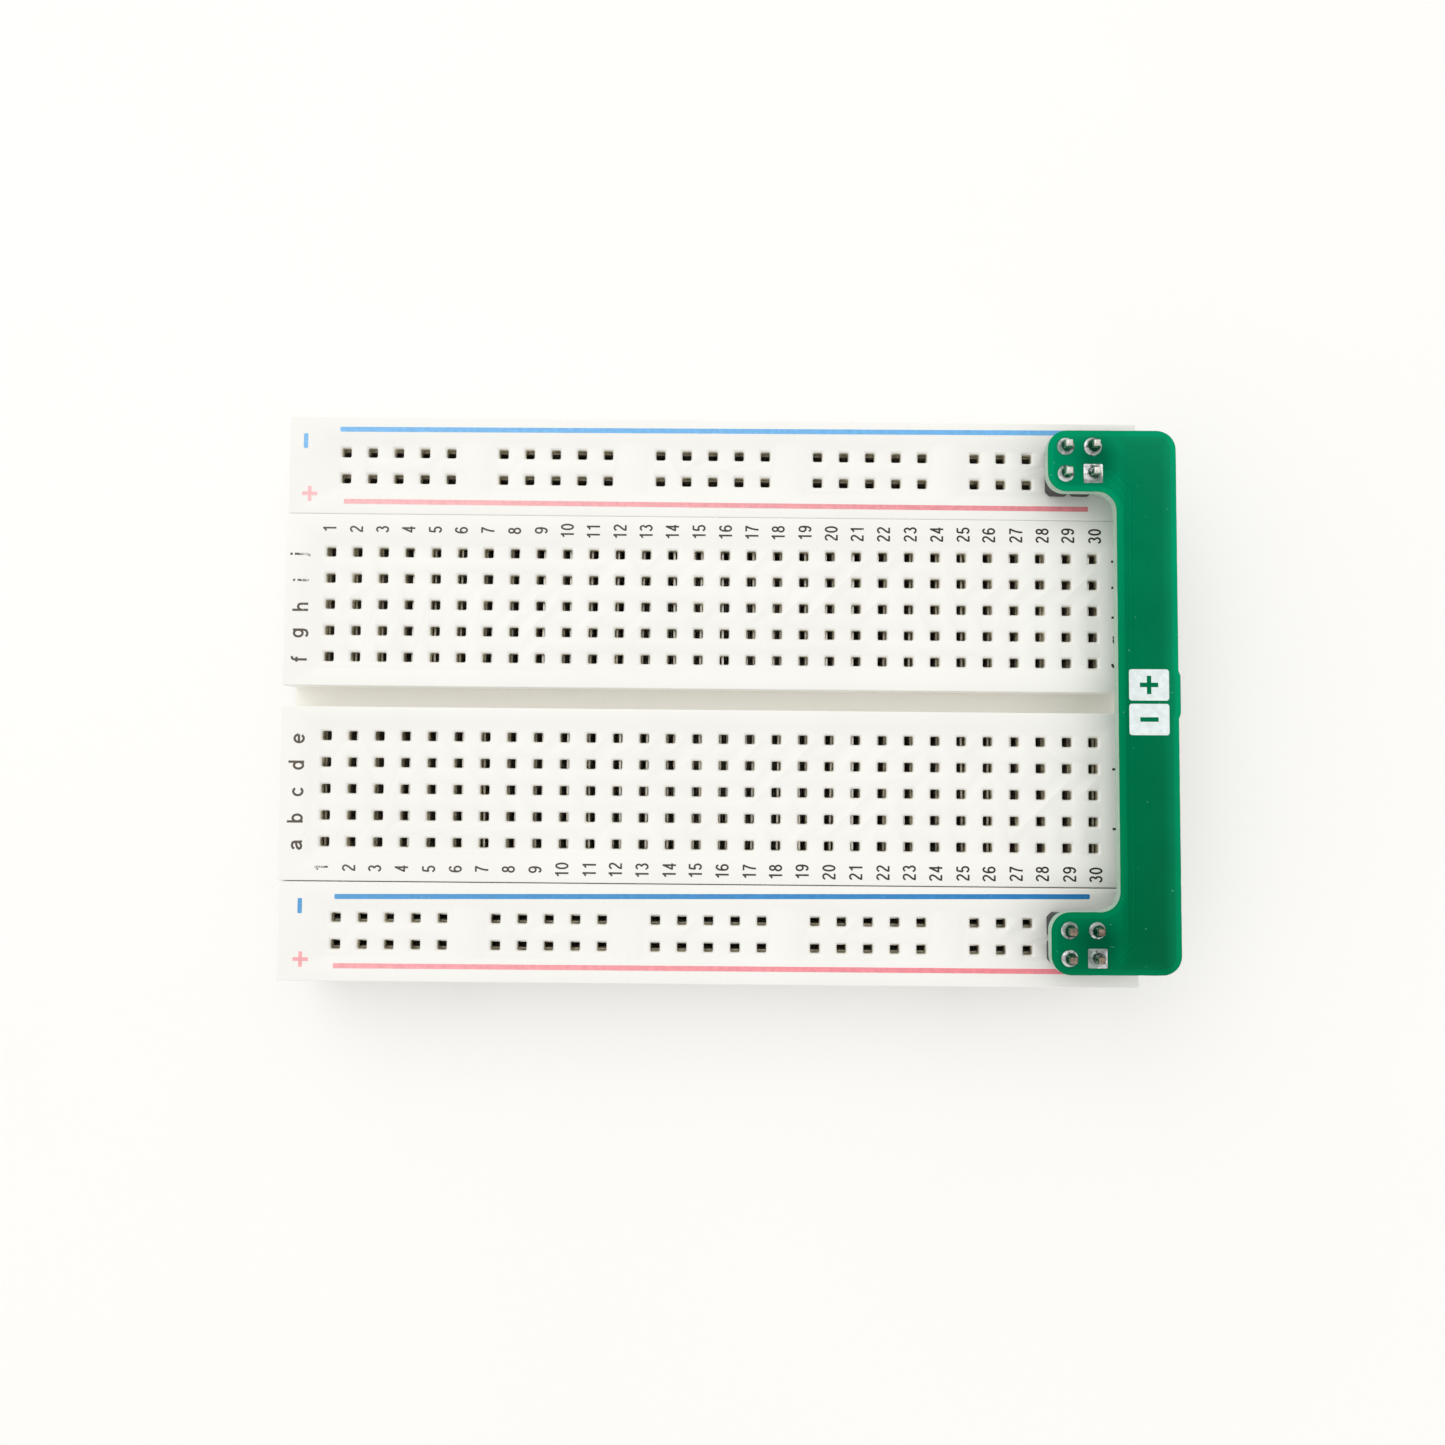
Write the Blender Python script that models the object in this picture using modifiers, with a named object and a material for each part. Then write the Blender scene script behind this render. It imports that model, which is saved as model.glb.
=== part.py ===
"""Half-size solderless breadboard with a bridge board that joins its power rails.

Metres, +Z up, +X along the numbered columns, +Y from row a towards row j.
The origin is the centre of the terminal strip's underside, on its release liner.
Sizes below are in millimetres; MM turns them into metres.
"""
import math

import bmesh
import bpy
from mathutils import Matrix, Vector

MM = 0.001

# Contact grid
PITCH = 2.54
COLUMNS = 30
ROWS = 5
GROUPS = 5
GROUP_HOLES = 5
HOLE = 1.0
SKIN = 1.5

# Housings: a terminal strip between two power rails
STRIP_LENGTH = 82.3
STRIP_WIDTH = 35.3
RAIL_LENGTH = 82.0
RAIL_WIDTH = 9.4
SEAM = 0.1
HOUSING_HEIGHT = 8.5
TROUGH_WIDTH = 2.0
TROUGH_DEPTH = 3.5
FIRST_ROW = 1.5 * PITCH
RAIL_MIDDLE = 22.415

# Cavities under the skin
POCKET_WIDTH = 1.9
POCKET_OVERRUN = 1.12
BUS_OVERRUN = 1.6
FIELD_RECESS = 0.35
FIELD_MARGIN = 0.4
CORE_LENGTH = 78.0
CORE_WIDTH = 3.8
CORE_DEPTH = 3.6

# Dovetails between the housings
TAB_SPREAD = 25.4
TAB_ROOT = 2.4
TAB_TIP = 3.6
TAB_DEPTH = 1.3
TAB_START = 0.2
TAB_HEIGHT = 6.0
SLIDE_GAP = 0.12

# Foam tape and release liner under each housing
LINER = 0.12
FOAM = 0.82
LAYER_GAP = 0.03
HOUSING_BASE = LINER + FOAM + 2 * LAYER_GAP
HOUSING_TOP = HOUSING_BASE + HOUSING_HEIGHT
TAPE_END_INSET = 0.6
TAPE_EDGE_INSET = 0.45
TAPE_SLOT_INSET = 1.75

# Spring clips
SHEET = 0.2
CLIP_WIDTH = 1.1
CLIP_OVERRUN = 0.95
CLIP_BASE = 0.18
CLIP_HEIGHT = 6.3
CLIPS_PER_BANK = 3
TIE_WIDTH = 1.2
TIE_THICKNESS = 0.12
BUS_CLIP_OVERRUN = 1.3
BUS_NOTCH = 1.5
BUS_NOTCH_START = 1.6

# Bridge board
HEADER_SIZE = 2 * PITCH
HEADER_HEIGHT = 2.54
HEADER_CHAMFER = 0.45
SEAT_GAP = 0.05
PIN_WIDTH = 0.64
PIN_TAIL = 6.0
PIN_TIP = 1.4
PIN_CHAMFER = 0.13
PIN_SOCKET = 0.70
BOARD_THICKNESS = 1.6
BOARD_HALF_LENGTH = 25.1
ARM_END_X = 31.5
ARM_INNER_Y = 19.5
SPINE_INNER_X = 37.8
SPINE_OUTER_X = 43.15
BOARD_CORNER = 1.8
BREAK_OFF = 0.22
BREAK_OFF_LOW = -1.7
BREAK_OFF_HIGH = 2.8
DRILL_RADIUS = 0.52
SOLDER_BORE = 0.48
SOLDER_RADIUS = 0.86
SOLDER_HEIGHT = 0.95

STRIP = Vector((0.0, 0.0, HOUSING_BASE))
UPPER_RAIL = Vector((0.0, RAIL_MIDDLE, HOUSING_BASE))
LOWER_RAIL = Vector((0.0, -RAIL_MIDDLE, HOUSING_BASE))
BRIDGE = Vector((SPINE_INNER_X, 0.0, HOUSING_TOP))


def clear_scene():
    for item in list(bpy.data.objects):
        bpy.data.objects.remove(item, do_unlink=True)


def new_collection(name):
    collection = bpy.data.collections.new(name)
    bpy.context.scene.collection.children.link(collection)
    return collection


def material(name, colour, roughness, metallic=0.0):
    made = bpy.data.materials.new(name)
    made.use_nodes = True
    shader = made.node_tree.nodes["Principled BSDF"]
    shader.inputs["Base Color"].default_value = (*colour, 1.0)
    shader.inputs["Roughness"].default_value = roughness
    shader.inputs["Metallic"].default_value = metallic
    made.diffuse_color = (*colour, 1.0)
    return made


def column_x(column):
    """X of a terminal column, counted from 0."""
    return (column - (COLUMNS - 1) / 2) * PITCH


def rail_grid():
    """X of every pitch along a rail, with and without a hole."""
    count = GROUPS * (GROUP_HOLES + 1) - 1
    return [(i - (count - 1) / 2) * PITCH for i in range(count)]


def rail_columns():
    """X of each rail hole: groups of five with one pitch left out between them."""
    return [x for i, x in enumerate(rail_grid()) if i % (GROUP_HOLES + 1) < GROUP_HOLES]


def group_gaps():
    """X of the middle of each gap between the rail groups."""
    return [x for i, x in enumerate(rail_grid()) if i % (GROUP_HOLES + 1) == GROUP_HOLES]


def half_rows(side):
    """Y of the five rows on one side of the trough."""
    return [side * (FIRST_ROW + i * PITCH) for i in range(ROWS)]


def add_box(bm, low, high):
    """A box between two corners in millimetres, from the object's origin."""
    low, high = Vector(low) * MM, Vector(high) * MM
    size = Matrix.Diagonal((*(high - low), 1.0))
    matrix = Matrix.Translation((low + high) / 2) @ size
    return bmesh.ops.create_cube(bm, size=1.0, matrix=matrix)["verts"]


def add_prism(bm, x, root_y, side, grow, low_z, high_z, sink=0.5):
    """A dovetail: a box whose far side is wider than the side at the wall."""
    tip_y = root_y + side * (TAB_DEPTH + grow)
    back_y = root_y - side * sink
    slope = (TAB_TIP - TAB_ROOT) / 2 / TAB_DEPTH
    low = (x - 1, min(back_y, tip_y), low_z)
    high = (x + 1, max(back_y, tip_y), high_z)
    for vert in add_box(bm, low, high):
        out = side * (vert.co.y / MM - root_y)
        half = TAB_ROOT / 2 + slope * out + grow
        vert.co.x = (x + math.copysign(half, vert.co.x / MM - x)) * MM


def add_channel(bm, low, high, along):
    """An open U of sheet: a box without its top and without the ends along one axis."""
    verts = add_box(bm, low, high)
    faces = {face for vert in verts for face in vert.link_faces}
    open_faces = [face for face in faces if face.normal.z > 0.5 or abs(face.normal[along]) > 0.5]
    bmesh.ops.delete(bm, geom=open_faces, context="FACES_ONLY")


def mesh_object(name, bm, finish, frame, offset=(0, 0, 0)):
    """An object in the model's collection, placed from its body's frame."""
    bm.normal_update()
    mesh = bpy.data.meshes.new(name)
    bm.to_mesh(mesh)
    bm.free()
    made = bpy.data.objects.new(name, mesh)
    if finish:
        mesh.materials.append(finish)
    made.parent = frame
    made.location = Vector(offset) * MM
    (parts if finish else cutters).objects.link(made)
    return made


def tool_object(name, bm, frame, offset=(0, 0, 0)):
    """A cutter or a joined shape: left out of the part itself."""
    made = mesh_object(name, bm, None, frame, offset)
    made.hide_render = True
    made.display_type = "WIRE"
    return made


def boolean(target, operation, tool):
    modifier = target.modifiers.new(tool.name, "BOOLEAN")
    modifier.operation = operation
    modifier.solver = "EXACT"
    modifier.object = tool


def body_frame(name, position, parent=None):
    """An empty at a body's reference point; what moves with the body hangs on it."""
    empty = bpy.data.objects.new(name, None)
    empty.empty_display_size = 4 * MM
    empty.parent = parent
    empty.location = position * MM if parent is None else (position - places[parent.name]) * MM
    places[name] = position
    parts.objects.link(empty)
    return empty


def cut_holes(target, frame, name, columns, rows):
    """Square contact holes through the skin into the cavities below."""
    bm = bmesh.new()
    for x in columns:
        for y in rows:
            low = (x - HOLE / 2, y - HOLE / 2, HOUSING_HEIGHT - SKIN - 0.5)
            add_box(bm, low, (x + HOLE / 2, y + HOLE / 2, HOUSING_HEIGHT + 1))
    boolean(target, "DIFFERENCE", tool_object(name, bm, frame))


def add_tabs(target, frame, name, wall_y, side):
    bm = bmesh.new()
    for x in (-TAB_SPREAD, TAB_SPREAD):
        add_prism(bm, x, wall_y, side, 0.0, TAB_START, TAB_HEIGHT)
    boolean(target, "UNION", tool_object(name, bm, frame))


def cut_slots(target, frame, name, wall_y, side):
    """Slots open at the bottom; a neighbour's tabs stand one seam further out."""
    bm = bmesh.new()
    for x in (-TAB_SPREAD, TAB_SPREAD):
        add_prism(bm, x, wall_y, side, SLIDE_GAP, -1, TAB_HEIGHT + SLIDE_GAP)
    boolean(target, "DIFFERENCE", tool_object(name, bm, frame))


def terminal_block(frame, finish):
    bm = bmesh.new()
    half_length, half_width = STRIP_LENGTH / 2, STRIP_WIDTH / 2
    add_box(bm, (-half_length, -half_width, 0), (half_length, half_width, HOUSING_HEIGHT))
    block = mesh_object("terminal_block", bm, finish, frame)
    add_tabs(block, frame, "strip_tabs", half_width, 1)
    cut_slots(block, frame, "strip_slots", -half_width - SEAM, 1)

    bm = bmesh.new()
    trough = TROUGH_WIDTH / 2
    floor_z = HOUSING_HEIGHT - TROUGH_DEPTH
    add_box(bm, (-half_length - 1, -trough, floor_z), (half_length + 1, trough, HOUSING_HEIGHT + 1))
    add_box(bm, (-CORE_LENGTH / 2, -CORE_WIDTH / 2, -1), (CORE_LENGTH / 2, CORE_WIDTH / 2, CORE_DEPTH))
    boolean(block, "DIFFERENCE", tool_object("trough_and_core", bm, frame))

    recess = bmesh.new()
    pockets = bmesh.new()
    reach = POCKET_WIDTH / 2
    field_x = column_x(COLUMNS - 1) + reach + FIELD_MARGIN
    for side in (-1, 1):
        rows = half_rows(side)
        low_y, high_y = min(rows) - POCKET_OVERRUN, max(rows) + POCKET_OVERRUN
        margin_low = (-field_x, low_y - FIELD_MARGIN, -1)
        add_box(recess, margin_low, (field_x, high_y + FIELD_MARGIN, FIELD_RECESS))
        for column in range(COLUMNS):
            x = column_x(column)
            add_box(pockets, (x - reach, low_y, -1), (x + reach, high_y, HOUSING_HEIGHT - SKIN))
    boolean(block, "DIFFERENCE", tool_object("strip_recess", recess, frame))
    boolean(block, "DIFFERENCE", tool_object("strip_pockets", pockets, frame))
    columns = [column_x(column) for column in range(COLUMNS)]
    cut_holes(block, frame, "strip_holes", columns, half_rows(-1) + half_rows(1))


def rail_block(name, frame, finish, lower):
    """A power rail; its long cavities each hold one bus clip."""
    bm = bmesh.new()
    half_length = RAIL_LENGTH / 2
    inner = STRIP_WIDTH / 2 + SEAM - RAIL_MIDDLE
    if lower:
        low_y, high_y = -inner - RAIL_WIDTH, -inner
    else:
        low_y, high_y = inner, inner + RAIL_WIDTH
    add_box(bm, (-half_length, low_y, 0), (half_length, high_y, HOUSING_HEIGHT))
    rail = mesh_object(name, bm, finish, frame)
    if lower:
        add_tabs(rail, frame, name + "_tabs", high_y, 1)
    cut_slots(rail, frame, name + "_slots", low_y - SEAM, 1)

    bm = bmesh.new()
    reach = rail_columns()[-1] + BUS_OVERRUN
    for y in (-PITCH / 2, PITCH / 2):
        low = (-reach, y - POCKET_WIDTH / 2, -1)
        add_box(bm, low, (reach, y + POCKET_WIDTH / 2, HOUSING_HEIGHT - SKIN))
    boolean(rail, "DIFFERENCE", tool_object(name + "_cavities", bm, frame))
    cut_holes(rail, frame, name + "_holes", rail_columns(), (-PITCH / 2, PITCH / 2))


def solidify(made):
    modifier = made.modifiers.new("sheet", "SOLIDIFY")
    modifier.thickness = SHEET * MM
    modifier.offset = 0.0
    modifier.use_even_offset = True


def clip_bank(name, frame, finish, first, side):
    """Five-way spring clips for neighbouring columns, on a thin carrier strip."""
    rows = half_rows(side)
    low_y, high_y = min(rows) - CLIP_OVERRUN, max(rows) + CLIP_OVERRUN
    columns = [column_x(first + i) for i in range(CLIPS_PER_BANK)]
    bm = bmesh.new()
    for x in columns:
        low = (x - CLIP_WIDTH / 2, low_y, CLIP_BASE)
        add_channel(bm, low, (x + CLIP_WIDTH / 2, high_y, CLIP_BASE + CLIP_HEIGHT), 1)
    bank = mesh_object(name, bm, finish, frame)
    solidify(bank)

    bm = bmesh.new()
    middle = (low_y + high_y) / 2
    low = (columns[0], middle - TIE_WIDTH / 2, CLIP_BASE - TIE_THICKNESS / 2)
    high = (columns[-1], middle + TIE_WIDTH / 2, CLIP_BASE + TIE_THICKNESS / 2)
    add_box(bm, low, high)
    boolean(bank, "UNION", tool_object(name + "_carrier", bm, frame))


def bus_clip(name, frame, finish, y):
    """One long clip under a whole rail row, notched between the groups of holes."""
    reach = rail_columns()[-1] + BUS_CLIP_OVERRUN
    bm = bmesh.new()
    low = (-reach, y - CLIP_WIDTH / 2, CLIP_BASE)
    add_channel(bm, low, (reach, y + CLIP_WIDTH / 2, CLIP_BASE + CLIP_HEIGHT), 0)
    clip = mesh_object(name, bm, finish, frame)
    solidify(clip)

    bm = bmesh.new()
    for x in group_gaps():
        low = (x - BUS_NOTCH / 2, y - CLIP_WIDTH, CLIP_BASE + BUS_NOTCH_START)
        add_box(bm, low, (x + BUS_NOTCH / 2, y + CLIP_WIDTH, CLIP_BASE + CLIP_HEIGHT + 1))
    boolean(clip, "DIFFERENCE", tool_object(name + "_notches", bm, frame))


def tape(name, frame, foam, liner, length, low_y, high_y):
    """Foam tape and its release liner; both stay clear of the dovetail slots."""
    reach = length / 2 - TAPE_END_INSET
    liner_base = -HOUSING_BASE
    foam_base = liner_base + LINER + LAYER_GAP
    bm = bmesh.new()
    add_box(bm, (-reach, low_y, foam_base), (reach, high_y, foam_base + FOAM))
    mesh_object("foam_tape_" + name, bm, foam, frame)
    bm = bmesh.new()
    add_box(bm, (-reach, low_y, liner_base), (reach, high_y, liner_base + LINER))
    mesh_object("release_liner_" + name, bm, liner, frame)


def tapes(strip, upper, lower, foam, liner):
    half_strip = STRIP_WIDTH / 2
    inner = half_strip + SEAM - RAIL_MIDDLE
    outer = inner + RAIL_WIDTH
    slot, edge = TAPE_SLOT_INSET, TAPE_EDGE_INSET
    tape("terminal", strip, foam, liner, STRIP_LENGTH, slot - half_strip, half_strip - edge)
    tape("upper_rail", upper, foam, liner, RAIL_LENGTH, inner + slot, outer - edge)
    tape("lower_rail", lower, foam, liner, RAIL_LENGTH, slot - outer, -inner - edge)


def rounded(corners, steps=6):
    """Points round an outline of (x, y, radius) corners, each arc in equal steps."""
    points = []
    for i, (x, y, radius) in enumerate(corners):
        here = Vector((x, y))
        if not radius:
            points.append(here)
            continue
        before = (Vector(corners[i - 1][:2]) - here).normalized()
        after = (Vector(corners[(i + 1) % len(corners)][:2]) - here).normalized()
        centre = here + (before + after) * radius
        for step in range(steps + 1):
            turn = math.pi / 2 * step / steps
            points.append(centre - after * radius * math.cos(turn) - before * radius * math.sin(turn))
    return points


def board_outline():
    r = BOARD_CORNER
    top, inner = BOARD_HALF_LENGTH, ARM_INNER_Y
    edge, stub = SPINE_OUTER_X, SPINE_OUTER_X + BREAK_OFF
    return rounded([
        (ARM_END_X, top, r), (ARM_END_X, inner, r), (SPINE_INNER_X, inner, r),
        (SPINE_INNER_X, -inner, r), (ARM_END_X, -inner, r), (ARM_END_X, -top, r),
        (edge, -top, r), (edge, BREAK_OFF_LOW, 0), (stub, BREAK_OFF_LOW, 0),
        (stub, BREAK_OFF_HIGH, 0), (edge, BREAK_OFF_HIGH, 0), (edge, top, r),
    ])


def flat_plate(name, points, thickness, finish, frame, offset):
    """A plate from a 2D outline, turned into a mesh so that it can be drilled."""
    curve = bpy.data.curves.new(name, "CURVE")
    curve.dimensions = "2D"
    curve.fill_mode = "BOTH"
    curve.extrude = thickness / 2 * MM
    spline = curve.splines.new("POLY")
    spline.points.add(len(points) - 1)
    for place, point in zip(spline.points, points):
        place.co = ((point.x - BRIDGE.x) * MM, point.y * MM, 0.0, 1.0)
    spline.use_cyclic_u = True
    guide = bpy.data.objects.new(name + "_outline", curve)
    cutters.objects.link(guide)
    evaluated = guide.evaluated_get(bpy.context.evaluated_depsgraph_get())
    mesh = bpy.data.meshes.new_from_object(evaluated)
    bpy.data.objects.remove(guide, do_unlink=True)
    bm = bmesh.new()
    bm.from_mesh(mesh)
    bmesh.ops.remove_doubles(bm, verts=bm.verts, dist=0.002 * MM)
    bmesh.ops.recalc_face_normals(bm, faces=bm.faces)
    return mesh_object(name, bm, finish, frame, offset)


def pin_places(side):
    """X and Y of the four header pins on one rail."""
    columns = [rail_columns()[-2], rail_columns()[-1]]
    return [(x, side * RAIL_MIDDLE + y) for y in (-PITCH / 2, PITCH / 2) for x in columns]


def bridge_board(frame, finish):
    base = SEAT_GAP + HEADER_HEIGHT + LAYER_GAP
    middle = base + BOARD_THICKNESS / 2
    board = flat_plate("bridge_board", board_outline(), BOARD_THICKNESS, finish, frame, (0, 0, middle))
    bm = bmesh.new()
    for x, y in pin_places(1) + pin_places(-1):
        place = Matrix.Translation(Vector((x - BRIDGE.x, y, middle)) * MM)
        bmesh.ops.create_cone(
            bm, cap_ends=True, segments=12, radius1=DRILL_RADIUS * MM, radius2=DRILL_RADIUS * MM,
            depth=3 * BOARD_THICKNESS * MM, matrix=place)
    boolean(board, "DIFFERENCE", tool_object("drills", bm, frame))


def header_insulator(name, frame, finish, side):
    pins = pin_places(side)
    centre_x = sum(x for x, _ in pins) / len(pins) - BRIDGE.x
    centre_y = side * RAIL_MIDDLE
    half = HEADER_SIZE / 2
    bm = bmesh.new()
    add_box(bm, (-half, -half, 0), (half, half, HEADER_HEIGHT))
    upright = [edge for edge in bm.edges if abs(edge.verts[0].co.z - edge.verts[1].co.z) > MM]
    bmesh.ops.bevel(bm, geom=upright, offset=HEADER_CHAMFER * MM, segments=1, affect="EDGES")
    insulator = mesh_object(name, bm, finish, frame, (centre_x, centre_y, SEAT_GAP))
    bm = bmesh.new()
    reach = PIN_SOCKET / 2
    for x, y in pins:
        x -= BRIDGE.x
        add_box(bm, (x - reach, y - reach, -1), (x + reach, y + reach, HEADER_HEIGHT + 1))
    boolean(insulator, "DIFFERENCE", tool_object(name + "_sockets", bm, frame))


def header_pin(name, frame, finish, x, y):
    base = SEAT_GAP - PIN_TAIL
    top = SEAT_GAP + HEADER_HEIGHT + LAYER_GAP + BOARD_THICKNESS + PIN_TIP
    half = PIN_WIDTH / 2
    bm = bmesh.new()
    add_box(bm, (-half, -half, 0), (half, half, top - base))
    ends = [edge for edge in bm.edges if abs(edge.verts[0].co.z - edge.verts[1].co.z) < MM]
    bmesh.ops.bevel(bm, geom=ends, offset=PIN_CHAMFER * MM, segments=1, affect="EDGES")
    mesh_object(name, bm, finish, frame, (x - BRIDGE.x, y, base))


def solder_joint(name, frame, finish, x, y):
    """A turned fillet round a pin, standing on the board."""
    profile = [
        (SOLDER_BORE, SOLDER_HEIGHT), (SOLDER_BORE + 0.07, SOLDER_HEIGHT),
        (SOLDER_BORE + 0.17, SOLDER_HEIGHT / 2), (SOLDER_RADIUS, 0.08),
        (SOLDER_RADIUS, 0.0), (SOLDER_BORE, 0.0),
    ]
    bm = bmesh.new()
    ring = [bm.verts.new((r * MM, 0.0, z * MM)) for r, z in profile]
    for i, vert in enumerate(ring):
        bm.edges.new((vert, ring[(i + 1) % len(ring)]))
    base = SEAT_GAP + HEADER_HEIGHT + BOARD_THICKNESS + 2 * LAYER_GAP
    joint = mesh_object(name, bm, finish, frame, (x - BRIDGE.x, y, base))
    turn = joint.modifiers.new("turn", "SCREW")
    turn.steps = 12
    turn.render_steps = 12
    turn.use_merge_vertices = True
    turn.merge_threshold = 0.00001
    turn.use_smooth_shade = True


def build():
    white = material("white_abs", (0.88, 0.87, 0.84), 0.45)
    plated = material("plated_bronze", (0.74, 0.72, 0.68), 0.3, 1.0)
    foam = material("foam_tape", (0.80, 0.79, 0.74), 0.9)
    liner = material("release_paper", (0.72, 0.66, 0.52), 0.7)
    green = material("green_board", (0.0, 0.25, 0.11), 0.3)
    black = material("black_insulator", (0.012, 0.012, 0.013), 0.5)
    tinned = material("tinned_pin", (0.80, 0.78, 0.72), 0.25, 1.0)
    solder = material("solder", (0.78, 0.78, 0.78), 0.22, 1.0)

    lower = body_frame("lower_rail_frame", LOWER_RAIL)
    strip = body_frame("terminal_strip_frame", STRIP, lower)
    upper = body_frame("upper_rail_frame", UPPER_RAIL, strip)
    bridge = body_frame("bridge_frame", BRIDGE, upper)

    terminal_block(strip, white)
    rail_block("upper_rail_block", upper, white, lower=False)
    rail_block("lower_rail_block", lower, white, lower=True)
    for letters, side in (("f_j", 1), ("a_e", -1)):
        for first in range(0, COLUMNS, CLIPS_PER_BANK):
            span = f"{first + 1:02d}_{first + CLIPS_PER_BANK:02d}"
            clip_bank(f"clip_bank_{letters}_{span}", strip, plated, first, side)
    for rail, frame in (("upper", upper), ("lower", lower)):
        bus_clip(f"bus_clip_{rail}_minus", frame, plated, PITCH / 2)
        bus_clip(f"bus_clip_{rail}_plus", frame, plated, -PITCH / 2)
    tapes(strip, upper, lower, foam, liner)

    bridge_board(bridge, green)
    for rail, side in (("upper", 1), ("lower", -1)):
        header_insulator(f"header_insulator_{rail}", bridge, black, side)
        for number, (x, y) in enumerate(pin_places(side), 1):
            header_pin(f"header_pin_{rail}_{number}", bridge, tinned, x, y)
            solder_joint(f"solder_joint_{rail}_{number}", bridge, solder, x, y)


clear_scene()
parts = new_collection("solderless_breadboard")
cutters = new_collection("cutters")
places = {}
build()
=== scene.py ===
"""Looks of the solderless breadboard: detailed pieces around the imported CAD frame.

Shapes are drawn in millimetres in the frame's own axes: +X along the numbered columns,
+Y from row a to row j, +Z up, and z = 0 under the release liner.
"""
import math
import random

import bmesh
import bpy
from mathutils import Matrix, Vector, noise


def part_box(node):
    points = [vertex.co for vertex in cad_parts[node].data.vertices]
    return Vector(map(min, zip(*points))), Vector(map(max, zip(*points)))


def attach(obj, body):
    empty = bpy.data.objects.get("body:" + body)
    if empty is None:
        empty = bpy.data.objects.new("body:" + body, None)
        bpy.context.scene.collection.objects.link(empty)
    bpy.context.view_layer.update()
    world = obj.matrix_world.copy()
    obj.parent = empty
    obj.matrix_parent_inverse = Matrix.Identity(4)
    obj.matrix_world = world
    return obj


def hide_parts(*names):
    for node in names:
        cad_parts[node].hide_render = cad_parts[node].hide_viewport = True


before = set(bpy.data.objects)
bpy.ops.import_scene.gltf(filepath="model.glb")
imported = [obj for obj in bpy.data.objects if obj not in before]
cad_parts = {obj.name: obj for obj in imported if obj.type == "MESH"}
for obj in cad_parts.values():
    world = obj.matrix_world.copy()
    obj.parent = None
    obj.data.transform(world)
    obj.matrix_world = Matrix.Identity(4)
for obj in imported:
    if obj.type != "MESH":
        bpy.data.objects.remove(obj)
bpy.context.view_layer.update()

MM = 0.001

# Contact grid and clip banks, as in the CAD
PITCH = 2.54
COLUMNS = 30
ROWS = 5
GROUPS = 5
GROUP_HOLES = 5
FIRST_ROW = 1.5 * PITCH
SEAM = 0.1
CLIPS_PER_BANK = 3


def node_box(node):
    """A CAD node's lowest and highest corner, in millimetres."""
    low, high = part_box(node)
    return Vector(low) / MM, Vector(high) / MM


STRIP_LOW, STRIP_HIGH = node_box("terminal_block")
UPPER_LOW, UPPER_HIGH = node_box("upper_rail_block")
LOWER_LOW, LOWER_HIGH = node_box("lower_rail_block")
BOARD_LOW, BOARD_HIGH = node_box("bridge_board")
TOP = STRIP_HIGH.z
BASE = STRIP_LOW.z
STRIP_HALF = -STRIP_LOW.y
RAIL_INNER = UPPER_LOW.y

# Contact holes: square wells with a soft lead-in, in a field set just below the face
HOLE_HALF = 0.435
HOLE_ROUND = 0.11
LEAD_HALF = 0.62
LEAD_DEPTH = 0.22
SKIN = 1.1
FIELD_DEPTH = 0.06
FIELD_SLOPE = 0.20
FIELD_MARGIN = 1.2
FIELD_ROUND = 0.35
POCKET_HALF = 0.95
POCKET_OVERRUN = 1.12
BUS_OVERRUN = 1.6
EDGE_ROUND = 0.10
TIGHT_SEAM = 0.085  # how far the upper rail is drawn into its seam, closed in the photo

TROUGH_HALF = 1.0
TROUGH_DEPTH = 3.5
TROUGH_LIP = 0.12
CORE_HALF = 1.9
CORE_DEPTH = 3.6
CORE_LENGTH = 78.0

CLEAR = 1.0  # how far a cutting shape runs on past the faces that it cuts

# Dovetail tabs and slots, as in the CAD
TAB_SPREAD = 25.4
TAB_ROOT = 2.4
TAB_TIP = 3.6
TAB_DEPTH = 1.3
TAB_START = 0.2
TAB_HEIGHT = 6.0
TAB_SINK = 0.5
SLIDE_GAP = 0.12


# ---- grid

def column_x(column):
    return (column - (COLUMNS - 1) / 2) * PITCH


def rail_grid():
    count = GROUPS * (GROUP_HOLES + 1) - 1
    return [(i - (count - 1) / 2) * PITCH for i in range(count)]


def rail_groups():
    """X of the holes in each group of a rail."""
    grid = rail_grid()
    step = GROUP_HOLES + 1
    return [grid[i * step:i * step + GROUP_HOLES] for i in range(GROUPS)]


def rail_rows(side):
    """Y of a rail's two rows, from the header pins' places in the CAD."""
    name = "upper" if side > 0 else "lower"
    low, high = node_box(f"header_insulator_{name}")
    middle = (low.y + high.y) / 2
    return [middle - PITCH / 2, middle + PITCH / 2]


def half_rows(side):
    return sorted(side * (FIRST_ROW + i * PITCH) for i in range(ROWS))


# ---- mesh tools

def rectangle(x, y, width, height, radius=0.0, steps=4):
    """Points round a rectangle with rounded corners, anticlockwise."""
    signs = ((1, 1), (-1, 1), (-1, -1), (1, -1))
    if not radius:
        return [(x + sx * width / 2, y + sy * height / 2) for sx, sy in signs]
    points = []
    for quarter, (sx, sy) in enumerate(signs):
        cx, cy = x + sx * (width / 2 - radius), y + sy * (height / 2 - radius)
        for step in range(steps + 1):
            angle = math.pi / 2 * (quarter + step / steps)
            points.append((cx + radius * math.cos(angle), cy + radius * math.sin(angle)))
    return points


def circle(x, y, radius, steps):
    angles = [math.tau * i / steps for i in range(steps)]
    return [(x + radius * math.cos(angle), y + radius * math.sin(angle)) for angle in angles]


def at_height(points, z):
    return [(x, y, z) for x, y in points]


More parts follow.
